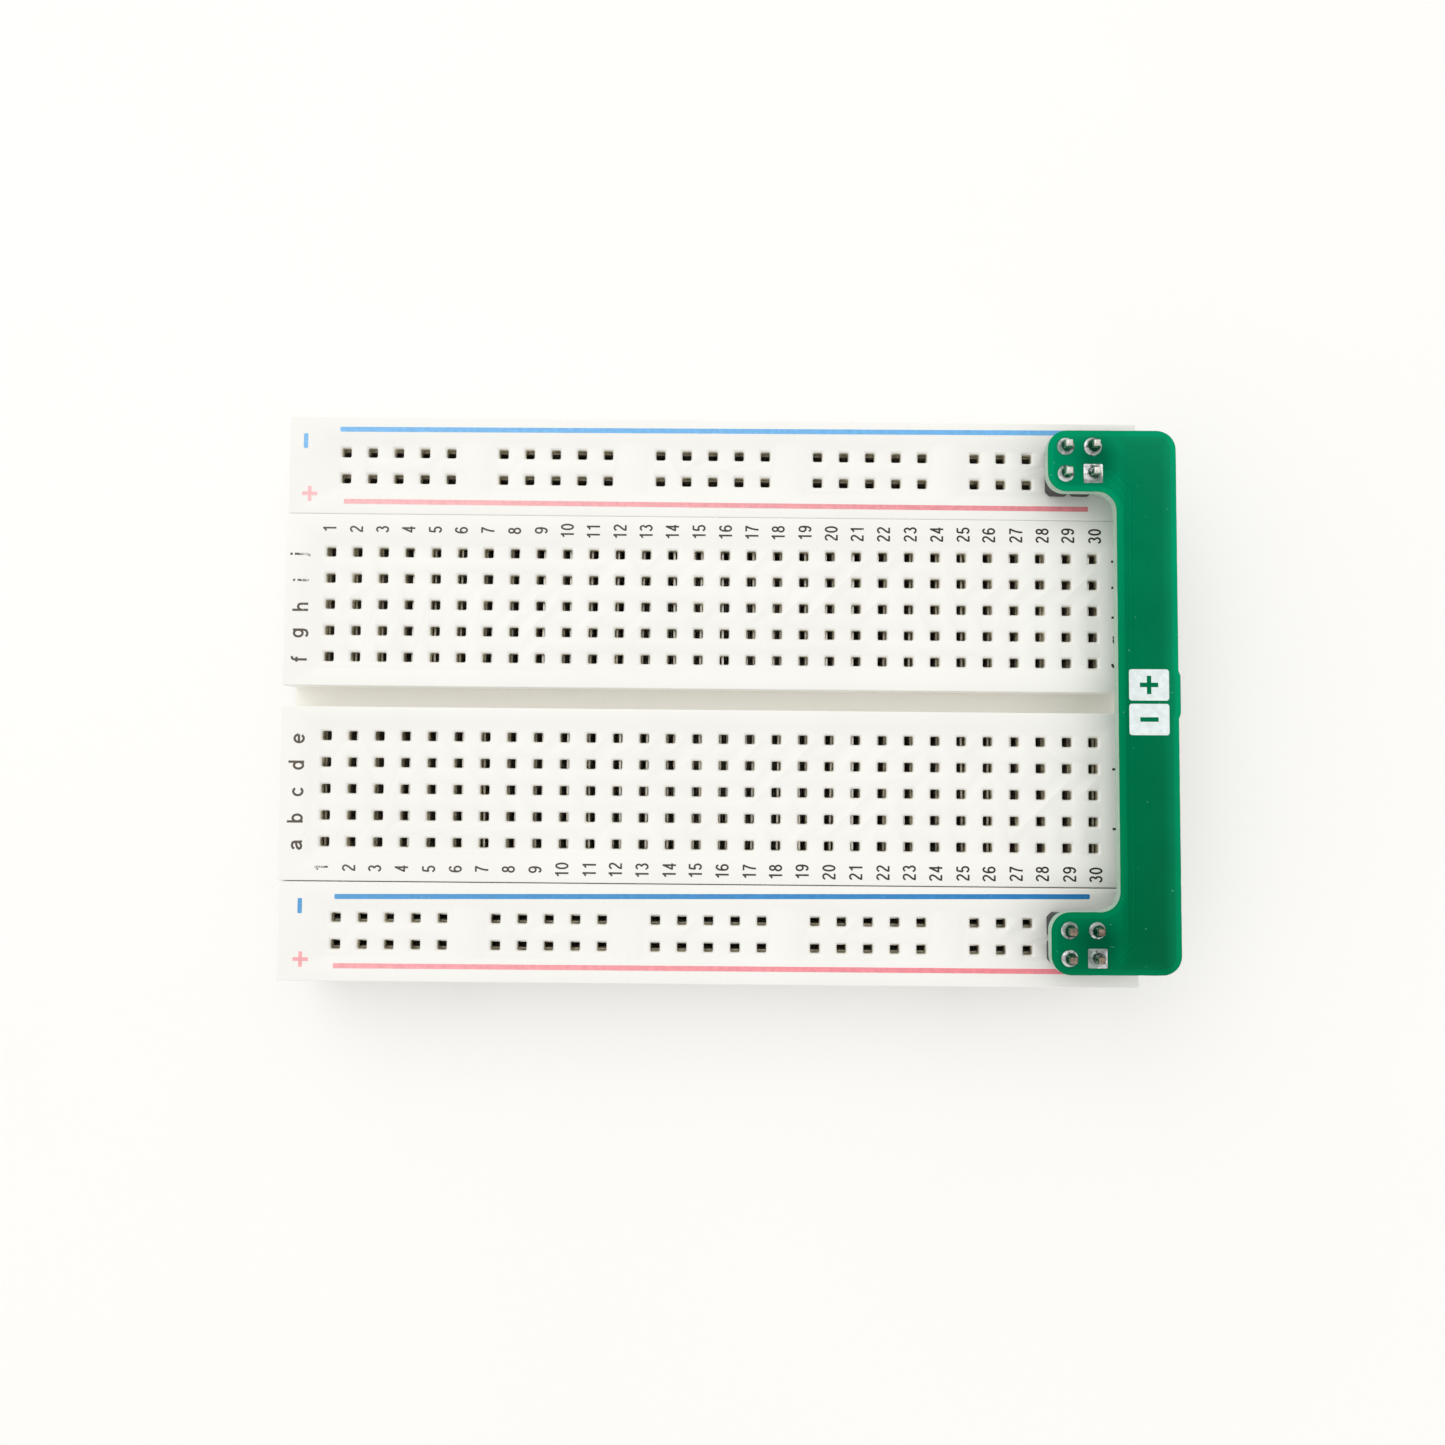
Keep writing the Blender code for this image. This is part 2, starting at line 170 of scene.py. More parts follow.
def loft(bm, rings, slots=None):
    """A closed skin through rings of equally many points, with a cap at each end."""
    loops = [[bm.verts.new(point) for point in ring] for ring in rings]
    count = len(loops[0])
    for level, (low, high) in enumerate(zip(loops, loops[1:])):
        for i in range(count):
            j = (i + 1) % count
            face = bm.faces.new((low[i], low[j], high[j], high[i]))
            face.material_index = slots[level] if slots else 0
    bm.faces.new(list(reversed(loops[0])))
    bm.faces.new(loops[-1])


def slabs(outlines, low_z, high_z):
    """A shape of flat plates with upright sides, one for each outline."""
    bm = bmesh.new()
    for points in outlines:
        loft(bm, [at_height(points, low_z), at_height(points, high_z)])
    return bm


def span_rectangle(low_x, low_y, high_x, high_y):
    return rectangle((low_x + high_x) / 2, (low_y + high_y) / 2, high_x - low_x, high_y - low_y)


def mesh_from(name, bm, scale=1.0):
    """A mesh with its faces turned outwards; uses up the shape."""
    bmesh.ops.recalc_face_normals(bm, faces=bm.faces)
    bmesh.ops.scale(bm, vec=(scale, scale, scale), verts=bm.verts)
    mesh = bpy.data.meshes.new(name)
    bm.to_mesh(mesh)
    bm.free()
    return mesh


def new_object(name, data):
    made = bpy.data.objects.new(name, data)
    bpy.context.scene.collection.objects.link(made)
    return made


def combined(base, tool, operation="DIFFERENCE"):
    """The base shape with the tool's shapes cut away or joined; both are closed."""
    target, cutter = (new_object("scrap", mesh_from("scrap", shape)) for shape in (base, tool))
    modifier = target.modifiers.new("combine", "BOOLEAN")
    modifier.solver = "MANIFOLD"
    modifier.operation = operation
    modifier.object = cutter
    evaluated = target.evaluated_get(bpy.context.evaluated_depsgraph_get())
    result = bmesh.new()
    result.from_mesh(evaluated.data)
    for item in (target, cutter):
        mesh = item.data
        bpy.data.objects.remove(item, do_unlink=True)
        bpy.data.meshes.remove(mesh)
    return result


def to_mesh(name, bm, finishes, sharp=35.0):
    """A mesh in metres from a shape in millimetres, smooth but for its real edges."""
    mesh = mesh_from(name, bm, MM)
    mesh.shade_smooth()
    mesh.set_sharp_from_angle(angle=math.radians(sharp))
    for finish in finishes:
        mesh.materials.append(finish)
    return mesh


def piece(name, mesh, body, nodes=(), matrix=None):
    """A visible piece that rides on a CAD body and stands for CAD nodes."""
    made = new_object(name, mesh)
    if matrix:
        made.matrix_world = matrix
    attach(made, body)
    if nodes:
        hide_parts(*nodes)


# ---- materials

def set_range(node, low, high, out_low, out_high):
    ends = {"From Min": low, "From Max": high, "To Min": out_low, "To Max": out_high}
    for key, value in ends.items():
        node.inputs[key].default_value = value


class Finish:
    """A Principled material and short calls for the nodes that it is made of."""

    def __init__(self, name, colour, roughness, metallic=0.0, **inputs):
        self.material = bpy.data.materials.new(name)
        self.material.use_nodes = True
        self.tree = self.material.node_tree
        self.shader = self.tree.nodes["Principled BSDF"]
        self.shader.inputs["Base Color"].default_value = (*colour, 1.0)
        self.shader.inputs["Roughness"].default_value = roughness
        self.shader.inputs["Metallic"].default_value = metallic
        for key, value in inputs.items():
            self.shader.inputs[key.replace("_", " ")].default_value = value
        self.place = self.node("ShaderNodeTexCoord").outputs["Object"]

    def node(self, kind, **settings):
        made = self.tree.nodes.new(kind)
        for key, value in settings.items():
            setattr(made, key, value)
        return made

    def link(self, source, target):
        self.tree.links.new(source, target)

    def noise(self, size_mm, detail=3.0, stretch=(1, 1, 1)):
        """Noise whose blobs are about size_mm across."""
        mapping = self.node("ShaderNodeMapping")
        mapping.inputs["Scale"].default_value = stretch
        self.link(self.place, mapping.inputs["Vector"])
        texture = self.node("ShaderNodeTexNoise")
        texture.inputs["Scale"].default_value = 1 / (size_mm * MM)
        texture.inputs["Detail"].default_value = detail
        self.link(mapping.outputs["Vector"], texture.inputs["Vector"])
        return texture.outputs["Fac"]

    def ramp(self, source, low, high, low_colour, high_colour):
        """Colour between two values of a source."""
        made = self.node("ShaderNodeValToRGB")
        stops = made.color_ramp.elements
        stops[0].position, stops[1].position = low, high
        stops[0].color, stops[1].color = (*low_colour, 1.0), (*high_colour, 1.0)
        self.link(source, made.inputs["Fac"])
        return made.outputs["Color"]

    def shades(self, source, low, high, depth):
        """A grey to multiply by, from a little under one to a little over."""
        return self.ramp(source, low, high, (1 - depth,) * 3, (1 + depth,) * 3)

    def mix(self, factor, first, second, mode="MIX"):
        made = self.node("ShaderNodeMix", data_type="RGBA", blend_type=mode)
        sockets = [made.inputs[i] for i in (0, 6, 7)]  # factor, and the two colours
        for value, socket in zip((factor, first, second), sockets):
            if hasattr(value, "is_linked"):
                self.link(value, socket)
            elif isinstance(value, tuple):
                socket.default_value = (*value, 1.0)
            else:
                socket.default_value = value
        return made.outputs[2]

    def times(self, first, second):
        return self.mix(1.0, first, second, "MULTIPLY")

    def math(self, operation, *sources):
        made = self.node("ShaderNodeMath", operation=operation)
        for source, socket in zip(sources, made.inputs):
            self.link(source, socket)
        return made.outputs["Value"]

    def span(self, source, low, high, out_low, out_high):
        """A value mapped from one range to another, and held at its ends."""
        made = self.node("ShaderNodeMapRange")
        set_range(made, low, high, out_low, out_high)
        self.link(source, made.inputs["Value"])
        return made.outputs["Result"]

    def coordinate(self, axis):
        split = self.node("ShaderNodeSeparateXYZ")
        self.link(self.place, split.inputs["Vector"])
        return split.outputs[axis]

    def distance(self, x, y, spot):
        """How far a place given by two values is from a spot, in metres."""
        place = self.node("ShaderNodeCombineXYZ")
        self.link(x, place.inputs["X"])
        self.link(y, place.inputs["Y"])
        away = self.node("ShaderNodeVectorMath", operation="DISTANCE")
        self.link(place.outputs["Vector"], away.inputs[0])
        away.inputs[1].default_value = (spot[0] * MM, spot[1] * MM, 0.0)
        return away.outputs["Value"]

    def colour(self, source):
        self.link(source, self.shader.inputs["Base Color"])

    def roughness(self, source, low, high):
        roughness = self.span(source, 0.3, 0.7, low, high)
        self.link(roughness, self.shader.inputs["Roughness"])

    def bump(self, source, height_mm, strength=1.0):
        made = self.node("ShaderNodeBump")
        made.inputs["Strength"].default_value = strength
        made.inputs["Distance"].default_value = height_mm * MM
        self.link(source, made.inputs["Height"])
        self.link(made.outputs["Normal"], self.shader.inputs["Normal"])


def housing_plastic():
    """White ABS: a fine moulded grain, a faint cloudiness, and a trough drawn paler as painted light.
    """
    finish = Finish("white_abs", (0.90, 0.895, 0.86), 0.42, Specular_IOR_Level=0.35)
    cloud = finish.noise(9.0, 4.0)
    plain = finish.ramp(cloud, 0.35, 0.65, (0.892, 0.886, 0.852), (0.912, 0.907, 0.874))
    # Painted light: below the face and within the groove's width the plastic is drawn paler, standing
    # in for light that reaches down into the trough.
    sunk = finish.span(finish.coordinate("Z"), (TOP - 1.6) * MM, (TOP - 0.4) * MM, 1.0, 0.0)
    away = finish.math("ABSOLUTE", finish.coordinate("Y"))
    trough = finish.math("MULTIPLY", sunk, finish.span(away, 1.05 * MM, 1.20 * MM, 1.0, 0.0))
    plain = finish.mix(trough, plain, (0.98, 0.965, 0.915))
    specks = finish.ramp(finish.noise(0.35, 2.0), 0.70, 0.80, (1.0, 1.0, 1.0), (0.90, 0.89, 0.86))
    finish.colour(finish.times(plain, specks))
    finish.roughness(finish.noise(2.0), 0.36, 0.50)
    finish.bump(finish.noise(0.12, 2.0), 0.004, 0.5)
    return finish.material


def cavity_plastic():
    """The same plastic down the holes, drawn dark below the rim as painted shade, in smears and
    blotches.
    """
    finish = Finish("white_abs_cavity", (0.3, 0.29, 0.26), 0.6, Specular_IOR_Level=0.2)
    # Painted shade: the walls below the rim are drawn dark in smears, for the shade down the holes.
    shade_smears = finish.noise(0.8, 3.0)
    shade_smears = finish.ramp(shade_smears, 0.35, 0.65, (0.30, 0.268, 0.185), (0.84, 0.790, 0.610))
    height = finish.coordinate("Z")
    pocket = finish.span(height, (TOP - SKIN - 0.6) * MM, (TOP - SKIN) * MM, 1.0, 0.0)
    # Painted shade: darker blotches over the lower walls.
    shade_blotches = finish.ramp(finish.noise(2.2, 1.0), 0.35, 0.65, (0.62, 0.60, 0.56), (1.0, 1.0, 1.0))
    lower = finish.times(finish.mix(pocket, shade_smears, (0.92, 0.87, 0.72)), shade_blotches)
    rim = finish.span(height, (TOP - 0.50) * MM, (TOP - 0.30) * MM, 0.0, 1.0)
    finish.colour(finish.mix(rim, lower, (0.80, 0.79, 0.73)))
    finish.bump(finish.noise(0.2, 2.0), 0.01, 0.5)
    return finish.material


def ink(name, left, right, worn, cover, thin_spots=()):
    """Hot-stamped ink: paler towards the left end and darker towards the right, a ramp that is painted
    light and shade; mottled, and worn through in small spots.
    """
    finish = Finish(name, right, 0.42, Specular_IOR_Level=0.25)
    # Painted light and shade: each ink is drawn paler at the left end and darker at the right end,
    # near the bridge board.
    along = finish.span(finish.coordinate("X"), -38 * MM, 36 * MM, 0.0, 1.0)
    painted_light_ramp = finish.mix(along, left, right)
    mottled = finish.shades(finish.noise(0.5, 4.0), 0.35, 0.70, 0.08)
    rubbed = finish.noise(0.20, 3.0)
    for x, y, reach in thin_spots:
        away = finish.distance(finish.coordinate("X"), finish.coordinate("Y"), (x, y))
        thin = finish.span(away, reach * MM * 0.4, reach * MM, 0.20, 0.0)
        rubbed = finish.math("ADD", rubbed, thin)
    wear = finish.span(rubbed, cover, cover + 0.12, 0.0, 0.8)
    finish.colour(finish.mix(wear, finish.times(painted_light_ramp, mottled), worn))
    finish.roughness(finish.noise(0.3), 0.34, 0.54)
    return finish.material


def plated_metal(name, colour, rough_low, rough_high, grain_mm, height_mm,
                 tarnish=0.82, painted_reflection=None):
    """Plated metal with uneven polish, duller where it has tarnished.

    The last argument is (low, high, depth): it darkens the colour from one height to another as a
    painted dark reflection, and adds dark green patches of painted reflection of the board.
    """
    finish = Finish(name, colour, rough_low, 1.0)
    darker = tuple(channel * tarnish for channel in colour)
    tone = finish.ramp(finish.noise(grain_mm * 2, 3.0), 0.38, 0.62, darker, colour)
    if painted_reflection:
        # Painted reflection: higher up the colour turns dark, and dark green patches are laid over it,
        # standing in for the board and the dark room seen in the metal.
        low, high, depth = painted_reflection
        dark_reflection_mask = finish.span(finish.coordinate("Z"), low * MM, high * MM, 0.0, depth)
        tone = finish.mix(dark_reflection_mask, tone, (0.10, 0.10, 0.11))
        green_reflection_patches = finish.span(finish.noise(1.1, 2.0), 0.46, 0.56, 0.0, 0.72)
        tone = finish.mix(green_reflection_patches, tone, (0.13, 0.19, 0.16))
    finish.colour(tone)
    finish.roughness(finish.noise(grain_mm, 3.0), rough_low, rough_high)
    finish.bump(finish.noise(grain_mm, 2.0), height_mm, 0.6)
    return finish.material


def solder_mask(name, lift):
    """Green mask: brighter at the edges, where light comes through, and darker round the pads."""
    finish = Finish(name, (0.0, 0.19, 0.08), 0.34, Specular_IOR_Level=0.25,
                    Specular_Tint=(0.0, 0.70, 0.45, 1.0))
    low, high = BOARD_LOW * MM, BOARD_HIGH * MM
    x, y = finish.coordinate("X"), finish.coordinate("Y")
    glows = [finish.span(*glow) for glow in (
        (x, high.x - 0.0016, high.x - 0.0002, 0.0, 1.0),
        (x, 0.0386, 0.0378, 0.0, 0.40),
        (y, high.y - 0.0012, high.y - 0.0001, 0.0, 0.45),
        (y, low.y + 0.0012, low.y + 0.0001, 0.0, 0.45),
    )]
    edge = glows[0]
    for glow in glows[1:]:
        edge = finish.math("MAXIMUM", edge, glow)
    along = finish.span(y, -0.024, 0.024, 0.0, 1.0)
    shades = ((0.112, 0.037), (0.190, 0.079)), ((0.200, 0.083), (0.280, 0.126))
    inner, outer = (
        finish.mix(along, *((0.0, green * lift, blue * lift) for green, blue in ends))
        for ends in shades)
    green = finish.mix(edge, inner, outer)
    green = finish.times(green, finish.shades(finish.noise(5.0, 4.0), 0.3, 0.7, 0.07))
    # Darker round the middle of each group of four pads.
    from_pads = finish.distance(x, finish.math("ABSOLUTE", y), (35.8, 22.4))
    green = finish.times(green, finish.span(from_pads, 0.0008, 0.0026, 0.58, 1.0))
    fleck = finish.span(finish.noise(0.45, 1.0), 0.775, 0.80, 0.0, 0.5)
    finish.colour(finish.mix(fleck, green, (0.10, 0.42, 0.30)))
    finish.roughness(finish.noise(1.2), 0.28, 0.40)
    finish.bump(finish.noise(0.6, 3.0), 0.005, 0.35)
    return finish.material


def laminate():
    """Bare glass-fibre edge: grey-green with fine layers."""
    finish = Finish("laminate_edge", (0.40, 0.55, 0.44), 0.6)
    layers = finish.noise(0.3, 3.0, (0.2, 0.2, 3.0))
    finish.colour(finish.ramp(layers, 0.35, 0.65, (0.31, 0.46, 0.36), (0.46, 0.61, 0.50)))
    finish.bump(layers, 0.02)
    return finish.material


def header_plastic():
    finish = Finish("black_insulator", (0.018, 0.018, 0.019), 0.45)
    dust = finish.noise(0.8, 4.0)
    finish.colour(finish.ramp(dust, 0.35, 0.7, (0.012, 0.012, 0.013), (0.032, 0.031, 0.030)))
    finish.roughness(finish.noise(0.5), 0.38, 0.58)
    finish.bump(finish.noise(0.1, 2.0), 0.006, 0.6)
    return finish.material


def foam():
    """Closed-cell foam: small round cells."""
    finish = Finish("foam_tape", (0.78, 0.77, 0.72), 0.95)
    voronoi = finish.node("ShaderNodeTexVoronoi")
    voronoi.inputs["Scale"].default_value = 1 / (0.22 * MM)
    finish.link(finish.place, voronoi.inputs["Vector"])
    cells = voronoi.outputs["Distance"]
    finish.colour(finish.ramp(cells, 0.0, 0.6, (0.55, 0.54, 0.49), (0.82, 0.81, 0.76)))
    finish.bump(cells, 0.05, 0.8)
    return finish.material


def release_paper():
    """Waxed paper: yellowish, with long soft fibres."""
    finish = Finish("release_paper", (0.74, 0.66, 0.48), 0.5)
    fibres = finish.noise(0.4, 5.0, (0.25, 1.0, 1.0))
    finish.colour(finish.ramp(fibres, 0.3, 0.7, (0.66, 0.58, 0.41), (0.78, 0.71, 0.54)))
    finish.roughness(fibres, 0.42, 0.62)
    finish.bump(fibres, 0.01, 0.5)
    return finish.material


def floor_cover():
    finish = Finish("pale_floor", (0.96, 0.955, 0.945), 0.95, Specular_IOR_Level=0.1)
    patches = finish.noise(60.0, 2.0)
    finish.colour(finish.ramp(patches, 0.3, 0.7, (0.955, 0.951, 0.941), (0.965, 0.961, 0.951)))
    return finish.material


WHITE = housing_plastic()
CAVITY = cavity_plastic()
# Each ink runs from its left colour to its right colour: the paler left and darker right are painted
# light and shade.
UPPER_BLUE = ink("blue_ink_upper", (0.225, 0.52, 0.88), (0.150, 0.45, 0.82),
                 (0.66, 0.80, 0.90), 0.66)
LOWER_BLUE = ink("blue_ink_lower", (0.115, 0.365, 0.69), (0.014, 0.205, 0.52),
                 (0.45, 0.60, 0.80), 0.70)
UPPER_RED = ink("red_ink_upper", (0.98, 0.53, 0.55), (0.80, 0.25, 0.29),
                (0.92, 0.74, 0.72), 0.66)
LOWER_RED = ink("red_ink_lower", (0.95, 0.42, 0.45), (0.88, 0.24, 0.29),
                (0.90, 0.66, 0.66), 0.68)
DARK = ink("dark_ink", (0.112, 0.096, 0.074), (0.028, 0.022, 0.016), (0.80, 0.78, 0.74), 0.67,
           [(-38.9, 14.2, 2.2), (-38.9, 11.4, 1.6), (-37.0, -16.4, 1.5)])
SILK = ink("white_ink", (0.76, 0.84, 0.84), (0.76, 0.84, 0.84), (0.40, 0.66, 0.56), 0.76)
BRONZE = plated_metal("plated_bronze", (0.95, 0.91, 0.82), 0.28, 0.45, 0.4, 0.004)
TIN = plated_metal("tinned_pin", (0.78, 0.76, 0.70), 0.18, 0.34, 0.5, 0.006, 0.80)
# Solder with painted reflection: dark higher up and in dark green patches.
SOLDER = plated_metal("solder", (0.92, 0.93, 0.94), 0.06, 0.20, 0.42, 0.02, 0.35,
                      (BOARD_HIGH.z + 0.05, BOARD_HIGH.z + 0.45, 0.80))
CUT_END = plated_metal("cut_pin_end", (0.36, 0.28, 0.22), 0.30, 0.50, 0.2, 0.01, 0.45)
MASK = solder_mask("green_board", 1.0)
BARE_MASK = solder_mask("green_board_margin", 1.18)
LAMINATE = laminate()
BLACK = header_plastic()
FOAM = foam()
PAPER = release_paper()


# ---- housings

def rounded_block(low, high):
    """A moulding with a flat underside, rounded upright edges and a rounded top edge."""
    middle, size = (low + high) / 2, high - low
    bm = bmesh.new()
    rings = [at_height(rectangle(middle.x, middle.y, size.x, size.y, EDGE_ROUND), low.z)]
    steps = 4
    for step in range(steps + 1):
        angle = math.pi / 2 * step / steps
        cut = EDGE_ROUND * (1 - math.cos(angle)) * 0.999
        ring = rectangle(*middle.xy, size.x - 2 * cut, size.y - 2 * cut, EDGE_ROUND - cut)
        rings.append(at_height(ring, high.z - EDGE_ROUND + EDGE_ROUND * math.sin(angle)))
    loft(bm, rings)
    return bm


def dovetails(wall_y, grow, low_z, high_z):
    """Two dovetails on a wall, wider at the tip; slots are the same shape grown by the gap."""
    outlines = []
    slope = (TAB_TIP - TAB_ROOT) / 2 / TAB_DEPTH
    for x in (-TAB_SPREAD, TAB_SPREAD):
        back, tip = -TAB_SINK, TAB_DEPTH + grow
        near, far = TAB_ROOT / 2 + grow + slope * back, TAB_ROOT / 2 + grow + slope * tip
        outlines.append([(x - near, wall_y + back), (x + near, wall_y + back),
                         (x + far, wall_y + tip), (x - far, wall_y + tip)])
    return slabs(outlines, low_z, high_z)


def trough_cutter(length):
    """The centre groove with softly rounded lips."""
    profile = [(-TROUGH_HALF, TOP - TROUGH_DEPTH)]
    steps = 4
    for step in range(steps + 1):
        angle = math.pi / 2 * step / steps
        y = -TROUGH_HALF - TROUGH_LIP * (1 - math.cos(angle))
        profile.append((y, TOP - TROUGH_LIP + TROUGH_LIP * math.sin(angle)))
    profile.append((y, TOP + CLEAR))
    profile += [(-y, z) for y, z in reversed(profile)]
    bm = bmesh.new()
    end = length / 2 + CLEAR
    loft(bm, [[(x, y, z) for y, z in profile] for x in (-end, end)])
    return bm


def field_cutter(fields):
    """Shallow recesses with sloping sides round the hole fields."""
    bm = bmesh.new()
    for low_x, high_x, low_y, high_y in fields:
        middle = ((low_x + high_x) / 2, (low_y + high_y) / 2)
        size = (high_x - low_x, high_y - low_y)
        rise = 0.05
        spread = 2 * FIELD_SLOPE * (FIELD_DEPTH + rise) / FIELD_DEPTH
        inner = rectangle(*middle, *size, FIELD_ROUND)
        outer = rectangle(*middle, size[0] + spread, size[1] + spread, FIELD_ROUND + spread / 2)
        loft(bm, [at_height(inner, TOP - FIELD_DEPTH), at_height(outer, TOP + rise)])
    return bm


def hole_cutter(holes):
    """Square contact holes with a lead-in that is softer at its rim."""
    face = TOP - FIELD_DEPTH
    levels = (
        (TOP - SKIN - 0.3, HOLE_HALF), (face - LEAD_DEPTH - 0.12, HOLE_HALF),
        (face - LEAD_DEPTH, HOLE_HALF + 0.03), (face - 0.06, LEAD_HALF - 0.05),
        (face - 0.015, LEAD_HALF), (face + 0.06, LEAD_HALF + 0.16),
    )
    bm = bmesh.new()
    for x, y in holes:
        loft(bm, [at_height(rectangle(x, y, 2 * half, 2 * half, HOLE_ROUND, 1), z)
                  for z, half in levels])
    return bm


def housing(name, node, body, low, high, fields, holes, pockets, tab_wall, slot_wall,
            trough=False):
    """One white moulding, open underneath, where the foam tape closes it."""
    bm = rounded_block(low, high)
    if tab_wall is not None:
        tabs = dovetails(tab_wall, 0.0, BASE + TAB_START, BASE + TAB_HEIGHT)
        bm = combined(bm, tabs, "UNION")
    slots = dovetails(slot_wall, SLIDE_GAP, BASE - CLEAR, BASE + TAB_HEIGHT + SLIDE_GAP)
    bm = combined(bm, slots)
    if trough:
        bm = combined(bm, trough_cutter(high.x - low.x))
        core = [rectangle(0, 0, CORE_LENGTH, 2 * CORE_HALF)]
        bm = combined(bm, slabs(core, BASE - CLEAR, BASE + CORE_DEPTH))
    bm = combined(bm, field_cutter(fields))
    wells = [span_rectangle(*pocket) for pocket in pockets]
    bm = combined(bm, slabs(wells, BASE - CLEAR, TOP - SKIN))
    bm = combined(bm, hole_cutter(holes))
    mark_cavities(bm, pockets)
    piece(name, to_mesh(name, bm, [WHITE, CAVITY]), body, [node])


def mark_cavities(bm, pockets):
    """Gives the faces down the holes and in the pockets their own finish, which carries the painted
    shade.
    """
    reach = 0.02

    def inside(spot, low_x, low_y, high_x, high_y):
        return low_x - reach < spot.x < high_x + reach and low_y - reach < spot.y < high_y + reach

    for face in bm.faces:
        spot = face.calc_center_median()
        if spot.z <= TOP - FIELD_DEPTH - LEAD_DEPTH:
            face.material_index = int(any(inside(spot, *pocket) for pocket in pockets))


def field(xs, ys):
    """The recess round a block of holes."""
    return xs[0] - FIELD_MARGIN, xs[-1] + FIELD_MARGIN, ys[0] - FIELD_MARGIN, ys[-1] + FIELD_MARGIN


def terminal_housing():
    low = STRIP_LOW.copy()
    high = Vector((STRIP_HIGH.x, STRIP_HALF, TOP))
    columns = [column_x(column) for column in range(COLUMNS)]
    fields, holes, pockets = [], [], []
    for side in (-1, 1):
        rows = half_rows(side)
        fields.append(field(columns, rows))
        for x in columns:
            holes += [(x, y) for y in rows]
            pockets.append((x - POCKET_HALF, rows[0] - POCKET_OVERRUN,
                            x + POCKET_HALF, rows[-1] + POCKET_OVERRUN))
    housing("terminal_housing", "terminal_block", "terminal_strip", low, high,
            fields, holes, pockets, STRIP_HALF, -STRIP_HALF - SEAM, trough=True)


def rail_housing(side):
    rows = rail_rows(side)
    groups = rail_groups()
    fields, holes = [], []
    for group in groups:
        fields.append(field(group, rows))
        holes += [(x, y) for x in group for y in rows]
    reach = groups[-1][-1] + BUS_OVERRUN
    pockets = [(-reach, y - POCKET_HALF, reach, y + POCKET_HALF) for y in rows]
    if side > 0:
        low, high = UPPER_LOW - Vector((0, TIGHT_SEAM, 0)), UPPER_HIGH
        tab_wall, slot_wall = None, UPPER_LOW.y - SEAM
    else:
        low, high = LOWER_LOW, Vector((LOWER_HIGH.x, -RAIL_INNER, TOP))
        tab_wall, slot_wall = -RAIL_INNER, low.y - SEAM
    name = "upper_rail" if side > 0 else "lower_rail"
    housing(name + "_housing", name + "_block", name, low, high,
            fields, holes, pockets, tab_wall, slot_wall)


# ---- spring clips

SHEET = 0.20
LEAF_WIDTH = 1.5
CLIP_BASE = 0.12
CLIP_HEIGHT = 7.24


def bent_leaf(bm, y, plugged):
    """One contact: a U of sheet whose leaves lean in to the pin and flare at the mouth."""
    if plugged:
        side = [(0.60, 0.10), (0.62, 0.35), (0.60, 2.6), (0.47, 4.9), (0.47, 5.6), (0.52, CLIP_HEIGHT)]
    else:
        side = [(0.60, 0.10), (0.62, 0.35), (0.58, 2.4), (0.27, 5.2), (0.18, 5.75),
                (0.20, 6.2), (0.35, CLIP_HEIGHT)]
    path = [Vector((-x, z)) for x, z in reversed(side)] + [Vector((x, z)) for x, z in side]
    rings = []
    for i, point in enumerate(path):
        along = path[min(i + 1, len(path) - 1)] - path[max(i - 1, 0)]
        across = Vector((-along.y, along.x)).normalized() * SHEET / 2
        half = LEAF_WIDTH / 2 if point.y < 5.3 else LEAF_WIDTH / 2 - 0.12
        inner, outer = point + across, point - across
        rings.append([(inner.x, y - half, inner.y), (inner.x, y + half, inner.y),
                      (outer.x, y + half, outer.y), (outer.x, y - half, outer.y)])
    loft(bm, rings)


def clip_shape(places, plugged=()):
    """A strip of contacts along Y on a common spine; z = 0 is under the spine."""
    contacts = bmesh.new()
    for y in places:
        bent_leaf(contacts, y, y in plugged)
    spine = span_rectangle(-0.42, places[0] - 0.9, 0.42, places[-1] + 0.9)
    return combined(contacts, slabs([spine], 0.03, 0.17), "UNION")


def terminal_clips():
    """Sixty five-way clips, one under each half column, each loose in its pocket."""
    rows = half_rows(1)
    middle = sum(rows) / ROWS
    mesh = to_mesh("five_way_clip", clip_shape([y - middle for y in rows]), [BRONZE])
    dice = random.Random(5)
    for letters, side in (("f_j", 1), ("a_e", -1)):
        for column in range(COLUMNS):
            first = column // CLIPS_PER_BANK * CLIPS_PER_BANK
            bank = f"clip_bank_{letters}_{first + 1:02d}_{first + CLIPS_PER_BANK:02d}"
            x = column_x(column) + dice.uniform(-0.15, 0.15)
            place = Matrix.Translation(Vector((x, side * middle, BASE + CLIP_BASE)) * MM)
            place @= Matrix.Rotation(dice.uniform(-0.012, 0.012), 4, "Z")
            piece(f"clip_{letters}_{column + 1:02d}", mesh, "terminal_strip",
                  [bank], place)


def bus_clips():
    """One long clip under each rail row; the bridge board's pins open its last two contacts."""
    places = [x for group in rail_groups() for x in group]
    turn = Matrix.Rotation(-math.pi / 2, 3, "Z")
    for rail, side in (("upper", 1), ("lower", -1)):
        plus, minus = rail_rows(side)
        for pole, y in (("plus", plus), ("minus", minus)):
            bm = clip_shape(places, places[-2:])
            bmesh.ops.rotate(bm, cent=(0, 0, 0), matrix=turn, verts=bm.verts)
            bmesh.ops.translate(bm, vec=(0, y, BASE + CLIP_BASE), verts=bm.verts)
            name = f"bus_clip_{rail}_{pole}"
            mesh = to_mesh(name, bm, [BRONZE])
            piece(f"contacts_{rail}_{pole}", mesh, f"{rail}_rail", [name])


# ---- tape and liner

